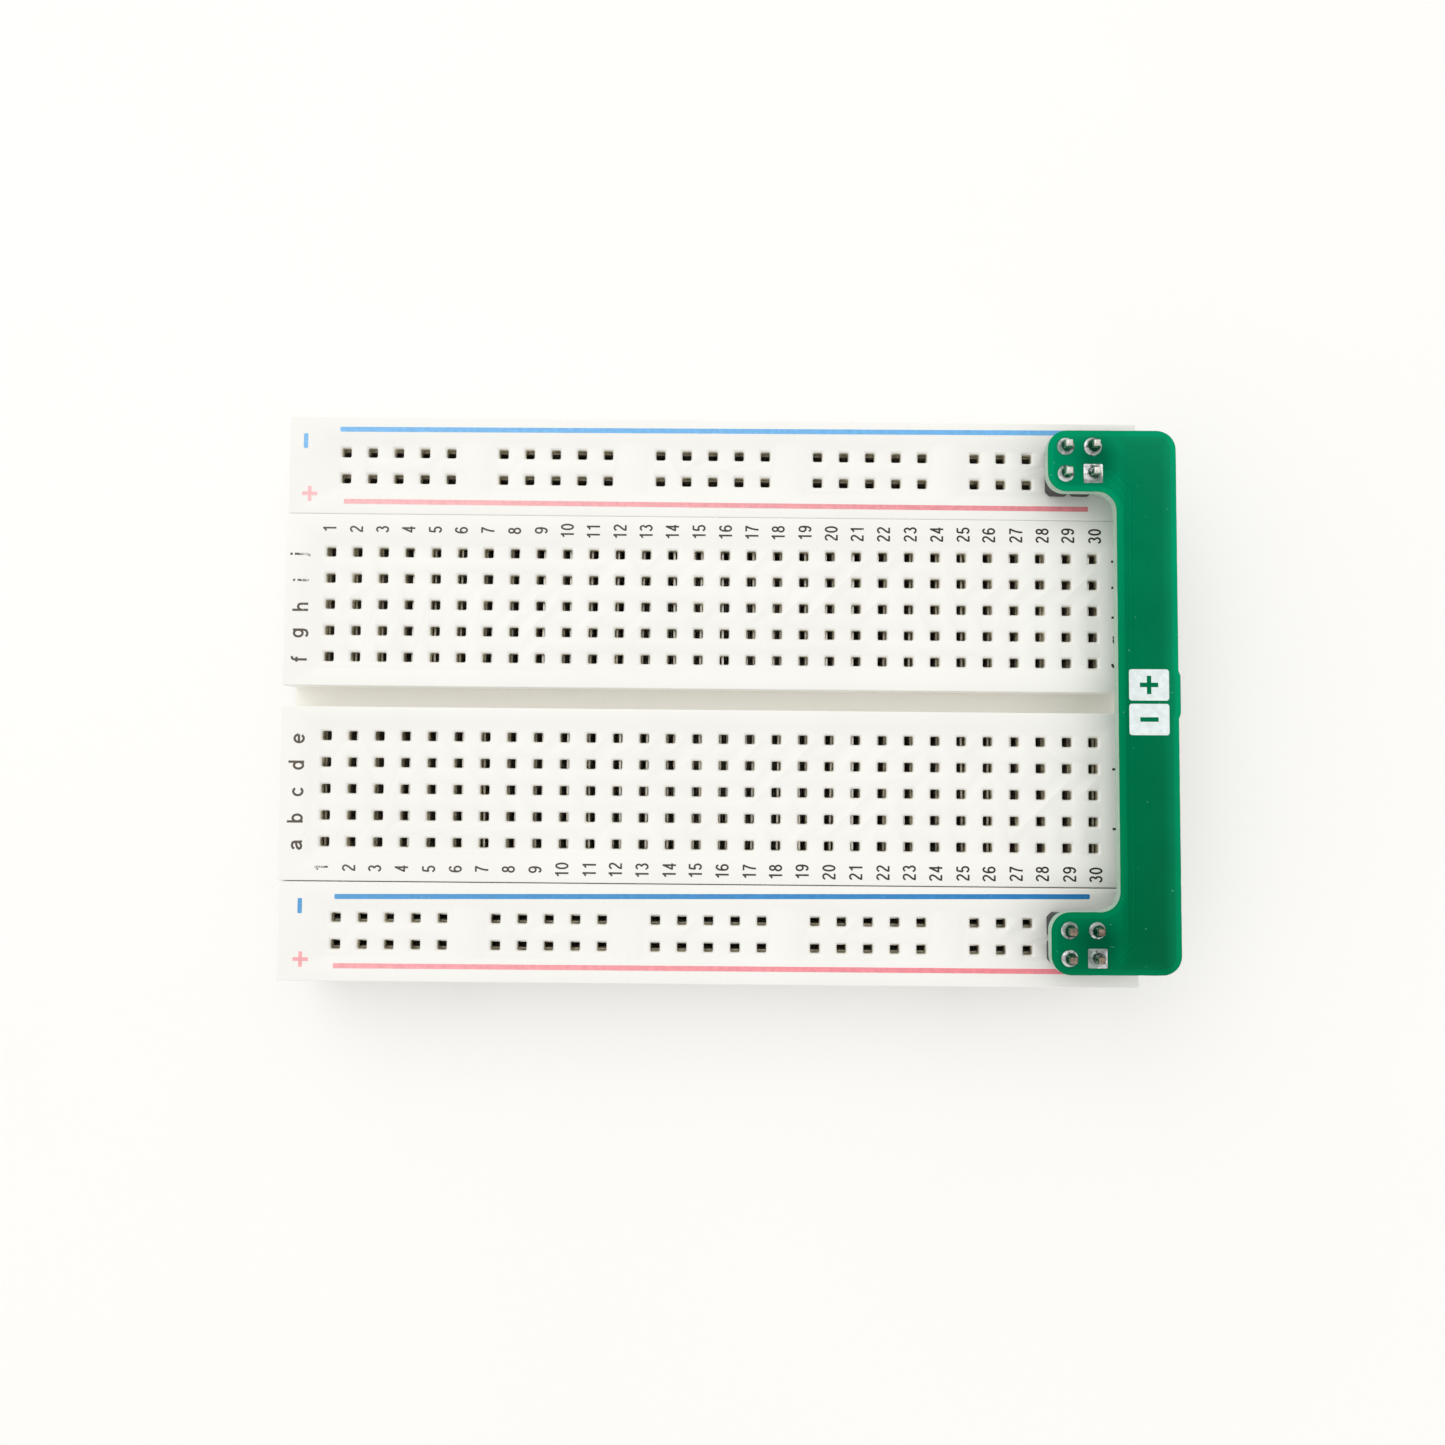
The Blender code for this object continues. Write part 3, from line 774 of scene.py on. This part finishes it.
def tapes():
    """Foam with soft cut edges, and its liner, under each housing."""
    kinds = (
        ("foam_tape", FOAM, "foam_tape", 0.10, 5),
        ("release_liner", PAPER, "release_paper", 0.03, 2),
    )
    for body in ("terminal_strip", "upper_rail", "lower_rail"):
        place = body.replace("_strip", "")
        for kind, finish, slot, ragged, levels in kinds:
            node = f"{kind}_{place}"
            low, high = node_box(node)
            bm = bmesh.new()
            rings = []
            for level in range(levels):
                z = low.z + (high.z - low.z) * level / (levels - 1)
                rings.append(ragged_outline(low, high, ragged, z))
            loft(bm, rings)
            piece(f"{place}_{kind}", to_mesh(node, bm, [finish], 60), body, [node])


def ragged_outline(low, high, depth, z):
    """A rectangle's outline in short steps, cut in by a little noise."""
    step = 1.5
    middle = (low + high) / 2
    points = []
    corners = [(low.x, low.y), (high.x, low.y), (high.x, high.y), (low.x, high.y)]
    for i, start in enumerate(corners):
        start, end = Vector(start), Vector(corners[(i + 1) % 4])
        count = max(2, round((end - start).length / step))
        for j in range(count):
            point = start.lerp(end, j / count)
            spot = Vector((point.x * 0.6, point.y * 0.6, z * 2.5))
            bite = depth * (0.5 + 0.5 * noise.noise(spot))
            point -= Vector((math.copysign(bite, point.x - middle.x),
                             math.copysign(bite, point.y - middle.y)))
            points.append((point.x, point.y, z))
    return points


# ---- printing

INK = 0.010  # how far the ink stands up from the face
SUNK = 0.004  # how far print reaches down into what it is printed on


def printed(name, shapes, finish, body):
    piece(name, to_mesh(name, slabs(shapes, TOP - SUNK, TOP + INK), [finish]), body)


def stripe(start, end, width):
    """A long printed bar with rounded ends and slightly uneven sides."""
    start, end = Vector(start), Vector(end)
    along = (end - start).normalized()
    across = Vector((-along.y, along.x))
    length = (end - start).length
    count = 60
    ends = (0.0, 0.04, 0.10)
    between = [length * i / count for i in range(1, count)]
    left, right = [], []
    for t in (*ends, *between, *(length - t for t in reversed(ends))):
        ease = min(1.0, 0.74 + min(t, length - t) * 2.6)
        for edge, sign in ((left, 1), (right, -1)):
            wobble = 0.012 * noise.noise(Vector((t * 0.9, sign * 7.0, start.y)))
            edge.append(tuple(start + along * t + across * sign * (width / 2 * ease + wobble)))
    return right + list(reversed(left))


def arc(x, y, wide, high, start, end, steps=14):
    """Points along part of an ellipse; angles in degrees."""
    angles = [math.radians(start + (end - start) * i / steps) for i in range(steps + 1)]
    return [(x + wide * math.cos(a), y + high * math.sin(a)) for a in angles]


def glyph_strokes():
    """Centre lines of a plain grotesque: digits 1 high, lower-case x-height 1."""
    six = [(0.43, 0.78), (0.37, 0.89), (0.28, 0.93), (0.17, 0.88), (0.10, 0.74), (0.07, 0.55),
           (0.07, 0.33)]
    dot = [(0.10, 1.20), (0.10, 1.40)]
    return {
        "0": [arc(0.26, 0.50, 0.185, 0.43, 0, 360, 24)],
        "1": [[(0.34, 0.0), (0.34, 1.0)], [(0.33, 0.93), (0.26, 0.83), (0.12, 0.75)]],
        "2": [arc(0.26, 0.735, 0.185, 0.195, 170, -15) + [(0.37, 0.53), (0.17, 0.28), (0.08, 0.08)],
              [(0.04, 0.07), (0.47, 0.07)]],
        "3": [arc(0.25, 0.735, 0.165, 0.195, 160, -85), arc(0.25, 0.295, 0.19, 0.225, 85, -165)],
        "4": [[(0.37, 0.0), (0.37, 1.0)], [(0.37, 0.93), (0.08, 0.29)], [(0.03, 0.29), (0.50, 0.29)]],
        "5": [[(0.45, 0.93), (0.12, 0.93)], [(0.14, 0.93), (0.09, 0.50)],
              arc(0.25, 0.315, 0.19, 0.245, 140, -160)],
        "6": [arc(0.26, 0.315, 0.185, 0.245, 0, 360, 22), six],
        "7": [[(0.05, 0.93), (0.47, 0.93)],
              [(0.44, 0.93), (0.34, 0.74), (0.25, 0.48), (0.20, 0.22), (0.19, 0.0)]],
        "8": [arc(0.26, 0.735, 0.155, 0.195, 0, 360, 20), arc(0.26, 0.295, 0.185, 0.225, 0, 360, 22)],
        "9": [arc(0.26, 0.685, 0.185, 0.245, 0, 360, 22), [(0.52 - x, 1 - y) for x, y in six]],
        "a": [[(0.12, 0.68), (0.20, 0.84), (0.42, 0.905), (0.64, 0.84), (0.72, 0.66), (0.72, 0.25),
               (0.79, 0.02)],
              [(0.72, 0.57), (0.42, 0.50), (0.20, 0.42), (0.10, 0.27), (0.18, 0.13), (0.36, 0.09),
               (0.60, 0.17), (0.72, 0.36)]],
        "b": [[(0.15, 0.0), (0.15, 1.40)], arc(0.46, 0.50, 0.30, 0.405, 0, 360, 22)],
        "c": [arc(0.46, 0.50, 0.34, 0.405, 38, 322, 20)],
        "d": [[(0.73, 0.0), (0.73, 1.40)], arc(0.42, 0.50, 0.30, 0.405, 0, 360, 22)],
        "e": [[(0.12, 0.52), (0.80, 0.52)], arc(0.45, 0.50, 0.345, 0.405, 3, 325, 22)],
        "f": [[(0.27, 0.0), (0.27, 1.05), (0.31, 1.25), (0.42, 1.33), (0.56, 1.33)],
              [(0.06, 0.92), (0.50, 0.92)]],
        "g": [arc(0.42, 0.52, 0.30, 0.385, 0, 360, 22),
              [(0.73, 1.0), (0.73, 0.05), (0.66, -0.18), (0.45, -0.29), (0.24, -0.26), (0.14, -0.13)]],
        "h": [[(0.15, 0.0), (0.15, 1.40)],
              [(0.15, 0.60), (0.25, 0.82), (0.45, 0.905), (0.64, 0.83), (0.70, 0.62), (0.70, 0.0)]],
        "i": [[(0.10, 0.0), (0.10, 1.0)], dot],
        "j": [[(0.10, 1.0), (0.10, -0.10), (0.04, -0.26), (-0.12, -0.31)], dot],
    }


def pen_stroke(bm, line, weight, low_z, high_z):
    """A stroke as a run of four-sided sections; one that ends where it starts is closed."""
    points = [Vector(point) for point in line]
    closed = (points[0] - points[-1]).length < 0.01
    if closed:
        points.pop()
    count = len(points)
    sections = []
    for i, point in enumerate(points):
        before = points[i - 1] if closed or i else 2 * point - points[1]
        after = points[(i + 1) % count] if closed or i + 1 < count else 2 * point - before
        into, out = (point - before).normalized(), (after - point).normalized()
        middle = (into + out).normalized()
        across = Vector((-middle.y, middle.x)) * weight / 2 / max(0.5, middle.dot(into))
        left, right = point + across, point - across
        corners = (*left, low_z), (*right, low_z), (*right, high_z), (*left, high_z)
        sections.append([bm.verts.new(corner) for corner in corners])
    pairs = list(zip(sections, sections[1:])) + ([(sections[-1], sections[0])] if closed else [])
    for first, second in pairs:
        for i in range(4):
            j = (i + 1) % 4
            bm.faces.new((first[i], first[j], second[j], second[i]))
    if not closed:
        bm.faces.new(sections[0])
        bm.faces.new(list(reversed(sections[-1])))


def glyph_mesh(lines, weight, scale):
    """One character on its baseline, in millimetres: a closed solid for each stroke."""
    bm = bmesh.new()
    for number, line in enumerate(lines):
        scaled = [(x * scale, y * scale) for x, y in line]
        pen_stroke(bm, scaled, weight * scale, -SUNK, INK + 0.0006 * number)
    return mesh_from("glyph", bm)


def text_shapes(bm, labels):
    """Adds labels that read along +Y: (text, base X, middle Y, height, weight, advance)."""
    strokes, made = glyph_strokes(), {}
    for text, x, y, size, weight, advance in labels:
        widths = [advance] * (len(text) - 1)
        start = y - (sum(widths) + GLYPH_WIDTH[text[-1].isdigit()] * size) / 2
        for number, letter in enumerate(text):
            key = (letter, size, weight)
            if key not in made:
                made[key] = glyph_mesh(strokes[letter], weight / size, size)
            mesh = made[key].copy()
            turn = Matrix.Rotation(math.pi / 2, 4, "Z")
            mesh.transform(Matrix.Translation((x, start + number * advance, TOP)) @ turn)
            bm.from_mesh(mesh)
            bpy.data.meshes.remove(mesh)
    for mesh in made.values():
        bpy.data.meshes.remove(mesh)


GLYPH_WIDTH = {True: 0.52, False: 0.85}
DIGIT_HEIGHT = 1.28
DIGIT_WEIGHT = 0.17
DIGIT_ADVANCE = 0.79
LETTER_HEIGHT = 1.08
LETTER_WEIGHT = 0.22
NUMBER_ROWS = (16.16, -16.43)
LETTER_COLUMNS = (-38.85, 40.07)
TAIL_LIFT = 0.32
LETTER_SHIFT = -0.33
NARROW = {"i": 0.75, "j": 0.75, "f": 0.30}


def terminal_print():
    """Numbers along both sides and letters at both ends, in type set a little unevenly."""
    dice = random.Random(11)
    labels = []
    for y in NUMBER_ROWS:
        for column in range(COLUMNS):
            drift = 0.12 * (column - 14.5) / 14.5 + dice.uniform(-0.04, 0.04)
            base = column_x(column) + DIGIT_HEIGHT / 2 + drift
            labels.append((str(column + 1), base, y + dice.uniform(-0.03, 0.03),
                           DIGIT_HEIGHT, DIGIT_WEIGHT, DIGIT_ADVANCE))
    for letters, side in (("abcde", -1), ("fghij", 1)):
        for letter, y in zip(letters, half_rows(side)):
            for x in LETTER_COLUMNS:
                lift = TAIL_LIFT if letter == "g" or letter == "j" and x < 0 else 0.0
                shift = LETTER_SHIFT + NARROW.get(letter, 0.0) * LETTER_HEIGHT / 2
                labels.append((letter, x - lift, y + shift, LETTER_HEIGHT, LETTER_WEIGHT, 0.0))
    bm = bmesh.new()
    text_shapes(bm, labels)
    piece("terminal_print", to_mesh("terminal_print", bm, [DARK]), "terminal_strip")


def rail_print():
    """Polarity stripes and signs; the lower rail's blue stripe is stamped a little askew."""
    width = 0.48
    left, right = -35.75, 36.35
    sign, bar = 1.45, 0.34
    stripes = {
        "upper": (((left - 0.4, 25.90), (right, 26.24)), ((left + 0.1, 18.86), (right, 18.78)),
                  (-39.45, 24.75), (-38.98, 19.60)),
        "lower": (((left + 0.1, -19.15), (right, -18.51)), ((left + 0.1, -25.68), (right, -25.62)),
                  (-38.93, -20.04), (-38.77, -25.09)),
    }
    for rail, (blue, red, minus, plus) in stripes.items():
        body = f"{rail}_rail"
        dash = rectangle(*minus, 0.42, sign, 0.12)
        blue_ink, red_ink = (UPPER_BLUE, UPPER_RED) if rail == "upper" else (LOWER_BLUE, LOWER_RED)
        printed(f"{rail}_minus_print", [stripe(*blue, width), dash], blue_ink, body)
        cross = plus_outline(*plus, sign, bar)
        printed(f"{rail}_plus_print", [stripe(*red, width), cross], red_ink, body)


def plus_outline(x, y, size, bar):
    far, near = size / 2, bar / 2
    corner = [(far, near), (near, near), (near, far), (-near, far), (-near, near), (-far, near)]
    return [(x + a, y + b) for a, b in corner] + [(x - a, y - b) for a, b in corner]


# ---- bridge board

BOARD_THICK = 1.2  # drawn thinner than in the CAD, as its edge looks in the photo
BOARD_CORNER = 1.8
BREAK_OFF = 0.18
COPPER = 0.035
COPPER_MARGIN = 0.55
TRACE_WIDTH = 0.42
TRACE_GAP = 0.20
DRILL = 0.5
ASKEW = 0.0047  # how far the board is turned on its pins, in radians
ASKEW_CENTRE = (34.3, 0, 0)
PIN_HALF = 0.32


def rounded(corners, steps=8):
    """Points round an outline of (x, y, radius) corners."""
    points = []
    for i, (x, y, radius) in enumerate(corners):
        here = Vector((x, y))
        if not radius:
            points.append(here)
            continue
        before = (Vector(corners[i - 1][:2]) - here).normalized()
        after = (Vector(corners[(i + 1) % len(corners)][:2]) - here).normalized()
        centre = here + (before + after) * radius
        for step in range(steps + 1):
            turn = math.pi / 2 * step / steps
            points.append(centre - after * radius * math.cos(turn) - before * radius * math.sin(turn))
    return points


def resampled(points, step):
    """The same outline with extra points, so that no side is longer than the step."""
    dense = []
    for i, point in enumerate(points):
        following = points[(i + 1) % len(points)]
        count = max(1, math.ceil((following - point).length / step))
        dense += [point.lerp(following, j / count) for j in range(count)]
    return dense


def inset(points, distance):
    """An anticlockwise outline moved inwards."""
    moved = []
    count = len(points)
    for i, point in enumerate(points):
        along = (points[(i + 1) % count] - points[i - 1]).normalized()
        moved.append(point + Vector((-along.y, along.x)) * distance)
    return moved


def board_outline():
    """The routed U, with the stub of a break-off tab on its outer edge."""
    left, right = BOARD_LOW.x - 0.15, BOARD_HIGH.x - 0.02
    top, inner_y = BOARD_HIGH.y + 0.15, 19.46
    inner_x, r = 37.72, BOARD_CORNER
    low_stub, high_stub = -1.7, 2.8
    corners = [
        (left, top, r), (left, inner_y, r), (inner_x, inner_y, r),
        (inner_x, -inner_y, r), (left, -inner_y, r), (left, -top, r),
        (right, -top, r), (right, low_stub, 0), (right + BREAK_OFF, low_stub + 0.5, 0),
        (right + BREAK_OFF, high_stub - 0.5, 0), (right, high_stub, 0), (right, top, r),
    ]
    outline = resampled(rounded(corners), 0.7)
    wavy = []
    for point, shifted in zip(outline, inset(outline, 1.0)):
        rough = 0.012 + 0.03 * abs(noise.noise(Vector((point.x * 1.1, point.y * 1.1, 3.0))))
        wavy.append(point.lerp(shifted, rough))
    return wavy


def trace_path():
    """The plus trace down the spine, between the two square pads."""
    upper, lower = rail_rows(1)[0], rail_rows(-1)[0]
    pad_x = rail_groups()[-1][-1]
    run_x = 38.67
    bend = 1.6
    return [Vector(p) for p in (
        (pad_x + 0.6, upper), (run_x - bend, upper), (run_x, upper - bend),
        (run_x, lower + bend), (run_x - bend, lower), (pad_x + 0.6, lower))]


def ribbon(path, width):
    """The outline of a line of even width."""
    left, right = [], []
    for i, point in enumerate(path):
        into = (point - path[i - 1]).normalized() if i else (path[1] - point).normalized()
        out = (path[i + 1] - point).normalized() if i + 1 < len(path) else into
        middle = (into + out).normalized()
        across = Vector((-middle.y, middle.x)) * width / 2 / max(0.5, middle.dot(into))
        left.append(point + across)
        right.append(point - across)
    return [tuple(p) for p in right + list(reversed(left))]


def pads():
    """X, Y and whether the pad is square, for the eight pins."""
    columns = rail_groups()[-1][-2:]
    made = []
    for rail, side in (("upper", 1), ("lower", -1)):
        plus, minus = rail_rows(side)
        for number, (x, y) in enumerate([(x, y) for y in (plus, minus) for x in columns], 1):
            made.append((f"{rail}_{number}", x, y, x == columns[-1] and y == plus))
    return made


def bridge_piece(name, bm, finishes, nodes=(), sharp=35.0):
    """A piece of the bridge board, which sits as far askew as its pins' play allows."""
    turn = Matrix.Rotation(ASKEW, 3, "Z")
    bmesh.ops.rotate(bm, cent=Vector(ASKEW_CENTRE), matrix=turn, verts=bm.verts)
    piece(name, to_mesh(name, bm, finishes, sharp), "bridge", nodes)


def bridge_board():
    low, high = BOARD_HIGH.z - BOARD_THICK, BOARD_HIGH.z
    outline = board_outline()
    plateau = inset(outline, COPPER_MARGIN)
    slope = inset(outline, COPPER_MARGIN + 0.06)
    soft = 0.05
    rim = inset(outline, soft)
    levels = [(slope, low), (plateau, low + COPPER), (rim, low + COPPER),
              (outline, low + COPPER + soft), (outline, high - COPPER - soft),
              (rim, high - COPPER), (plateau, high - COPPER), (slope, high)]
    bm = bmesh.new()
    loft(bm, [at_height(points, z) for points, z in levels], slots=[0, 0, 0, 1, 0, 0, 0])
    groove = ribbon(trace_path(), TRACE_WIDTH + 2 * TRACE_GAP)
    bm = combined(bm, slabs([groove], high - COPPER, high + CLEAR))
    trace = ribbon(trace_path(), TRACE_WIDTH)
    bm = combined(bm, slabs([trace], high - 0.1, high - 0.004), "UNION")
    drills = [circle(x, y, DRILL, 20) for _, x, y, _ in pads()]
    bm = combined(bm, slabs(drills, low - CLEAR, high + CLEAR))
    bm.normal_update()
    for face in bm.faces:
        if abs(face.calc_center_median().z - (high - COPPER)) < 0.004 and face.normal.z > 0.9:
            face.material_index = 2
    bridge_piece("bridge_circuit_board", bm, [MASK, LAMINATE, BARE_MASK],
                 ["bridge_board"])


def solder_joints():
    """Tinned pads with a smooth hollow fillet of solder drawn up each pin, heavier on one side."""
    top = BOARD_HIGH.z
    dice = random.Random(4)
    profile = ((1.0, 0.0), (0.97, 0.04), (0.85, 0.08), (0.72, 0.14), (0.62, 0.24), (0.55, 0.38),
               (0.505, 0.54), (0.475, 0.72), (0.455, 0.88), (0.43, 0.99), (0.39, 1.04), (0.33, 1.06))
    turns = 40
    for name, x, y, square in pads():
        reach = dice.uniform(0.76, 0.87)
        height = dice.uniform(0.85, 1.12)
        fill = dice.uniform(0.0, 0.30)
        lean, towards = dice.uniform(0.06, 0.16), dice.uniform(0, math.tau)
        bm = bmesh.new()
        rings = [[(px, py, top + 0.004) for px, py in circle(x, y, reach, turns)]]
        for wide, up in profile:
            ring = []
            for k in range(turns):
                angle = math.tau * k / turns
                swell = 1 + lean * math.cos(angle - towards)
                bulge = fill * 4 * (1 - wide) * max(0.0, wide - 0.40)
                radius = reach * (wide + bulge * 0.5 * swell * (1 if up < 0.95 else 0))
                ring.append((x + radius * math.cos(angle), y + radius * math.sin(angle),
                             top + 0.03 + height * up * swell))
            rings.append(ring)
        loft(bm, rings)
        if square:
            plate = rectangle(x, y, 1.78, 1.78, 0.12, 3)
            bm = combined(bm, slabs([plate], top + 0.004, top + 0.045), "UNION")
        bore = rectangle(x, y, 2 * PIN_HALF + 0.01, 2 * PIN_HALF + 0.01)
        bm = combined(bm, slabs([bore], top - CLEAR, top + 3 * CLEAR))
        bridge_piece(f"solder_fillet_{name}", bm, [SOLDER], [f"solder_joint_{name}"], 50)


def header_pins():
    """Square pins with softly rounded edges and cut tips."""
    for name, x, y, _ in pads():
        node = f"header_pin_{name}"
        low, high = node_box(node)
        bm = bmesh.new()
        levels = ((low.z, 0.13), (low.z + 0.05, 0.19), (low.z + 0.30, PIN_HALF),
                  (high.z - 0.20, PIN_HALF), (high.z - 0.06, 0.28), (high.z, 0.20))
        loft(bm, [at_height(rectangle(x, y, 2 * half, 2 * half, 0.05, 2), z)
                  for z, half in levels])
        if name.startswith("lower"):
            for face in bm.faces:
                if face.calc_center_median().z > high.z - 0.15:
                    face.material_index = 1
        bridge_piece(f"pin_{name}", bm, [TIN, CUT_END], [node], 40)


def header_outline(x, y, half_x, half_y):
    """A two-by-two header from above: chamfered corners, and a notch where two cells meet."""
    cut, notch = 0.44, 0.36
    half = [(half_x, notch), (half_x, half_y - cut), (half_x - cut, half_y), (notch, half_y),
            (0, half_y - notch), (-notch, half_y), (cut - half_x, half_y), (-half_x, half_y - cut),
            (-half_x, notch), (notch - half_x, 0)]
    return [(x + a, y + b) for a, b in half] + [(x - a, y - b) for a, b in half]


def header_insulators():
    """Two-by-two header bodies with softened edges, moulded a little under size."""
    edge, trim = 0.06, 0.10
    top = BOARD_HIGH.z - BOARD_THICK
    for rail, left_trim in (("upper", 0.48), ("lower", 0.34)):
        node = f"header_insulator_{rail}"
        low, high = node_box(node)
        half_x = (high.x - low.x - left_trim - trim) / 2
        half_y = (high.y - low.y) / 2 - trim
        x, y = low.x + left_trim + half_x, (low.y + high.y) / 2
        body = bmesh.new()
        wide = header_outline(x, y, half_x, half_y)
        narrow = header_outline(x, y, half_x - edge, half_y - edge)
        loft(body, [at_height(narrow, low.z), at_height(wide, low.z + edge),
                    at_height(wide, top - edge), at_height(narrow, top)])
        sockets = [rectangle(pin_x, pin_y, 0.66, 0.66)
                   for name, pin_x, pin_y, _ in pads() if name.startswith(rail)]
        body = combined(body, slabs(sockets, low.z - CLEAR, top + CLEAR))
        bridge_piece(f"header_body_{rail}", body, [BLACK], [node])


def board_legend():
    """A generic white legend: a plus panel over a minus panel."""
    x, middle, gap = 40.55, -0.17, 0.30
    width, height = 3.7, 2.9
    sign, bar = 1.7, 0.42
    low, high = BOARD_HIGH.z - SUNK, BOARD_HIGH.z + 0.014
    minus_y, plus_y = (middle + side * (height + gap) / 2 for side in (-1, 1))
    panels = [rectangle(x, y, width, height, 0.25) for y in (minus_y, plus_y)]
    signs = [plus_outline(x, plus_y, sign, bar), rectangle(x, minus_y, sign, bar)]
    bm = combined(slabs(panels, low, high), slabs(signs, low - CLEAR, high + CLEAR))
    bridge_piece("board_legend", bm, [SILK])


# ---- stage

def stage():
    bpy.ops.mesh.primitive_plane_add(size=3.0, location=(0, 0, -0.0002))
    floor = bpy.context.object
    floor.name = "floor"
    floor.data.materials.append(floor_cover())


KEY_PLACE = (-0.30, 0.50, 0.75)
KEY_SIZE = 0.80
KEY_WATTS = 1.2


def key_light():
    light = bpy.data.lights.new("key", "AREA")
    light.shape = "DISK"
    light.size = KEY_SIZE
    light.energy = KEY_WATTS
    lamp = new_object("key", light)
    lamp.location = KEY_PLACE
    lamp.rotation_euler = (-Vector(KEY_PLACE)).to_track_quat("-Z", "Y").to_euler()


def lights():
    """A room brighter at the upper left, and darker overhead, where the photographer leans in."""
    world = bpy.data.worlds.new("studio")
    world.use_nodes = True
    tree = world.node_tree
    sky = tree.nodes["Background"]
    sky.inputs["Color"].default_value = (1.0, 0.992, 0.975, 1.0)
    direction = tree.nodes.new("ShaderNodeTexCoord").outputs["Generated"]

    def glow(towards, near, far, bright, dim):
        dot = tree.nodes.new("ShaderNodeVectorMath")
        dot.operation = "DOT_PRODUCT"
        dot.inputs[1].default_value = Vector(towards).normalized()
        tree.links.new(direction, dot.inputs[0])
        span = tree.nodes.new("ShaderNodeMapRange")
        span.interpolation_type = "SMOOTHSTEP"
        set_range(span, far, near, dim, bright)
        tree.links.new(dot.outputs["Value"], span.inputs["Value"])
        return span.outputs["Result"]

    times = tree.nodes.new("ShaderNodeMath")
    times.operation = "MULTIPLY"
    tree.links.new(glow((-0.35, 0.75, 0.75), 0.95, -0.25, 1.06, 0.84), times.inputs[0])
    tree.links.new(glow((0.02, -0.07, 1.0), 0.993, 0.972, 0.45, 1.0), times.inputs[1])
    tree.links.new(times.outputs["Value"], sky.inputs["Strength"])
    bpy.context.scene.world = world
    key_light()
    bpy.context.scene.view_settings.view_transform = "Standard"


def camera():
    """Nearly straight down, a hand's width above the board."""
    data = bpy.data.cameras.new("camera")
    data.sensor_width = 36.0
    data.lens = 28.15
    data.clip_start = 0.005
    eye = new_object("camera", data)
    turn = Matrix.Rotation(-0.0095, 3, "Z") @ Matrix.Rotation(0.0020, 3, "Y")
    turn @= Matrix.Rotation(-0.0428, 3, "X")
    place = Vector((0.94, -6.85, TOP + 108.33)) * MM
    eye.matrix_world = Matrix.Translation(place) @ turn.transposed().to_4x4()
    bpy.context.scene.camera = eye


camera()
lights()
stage()
terminal_housing()
rail_housing(1)
rail_housing(-1)
terminal_clips()
bus_clips()
tapes()
terminal_print()
rail_print()
bridge_board()
header_insulators()
header_pins()
solder_joints()
board_legend()
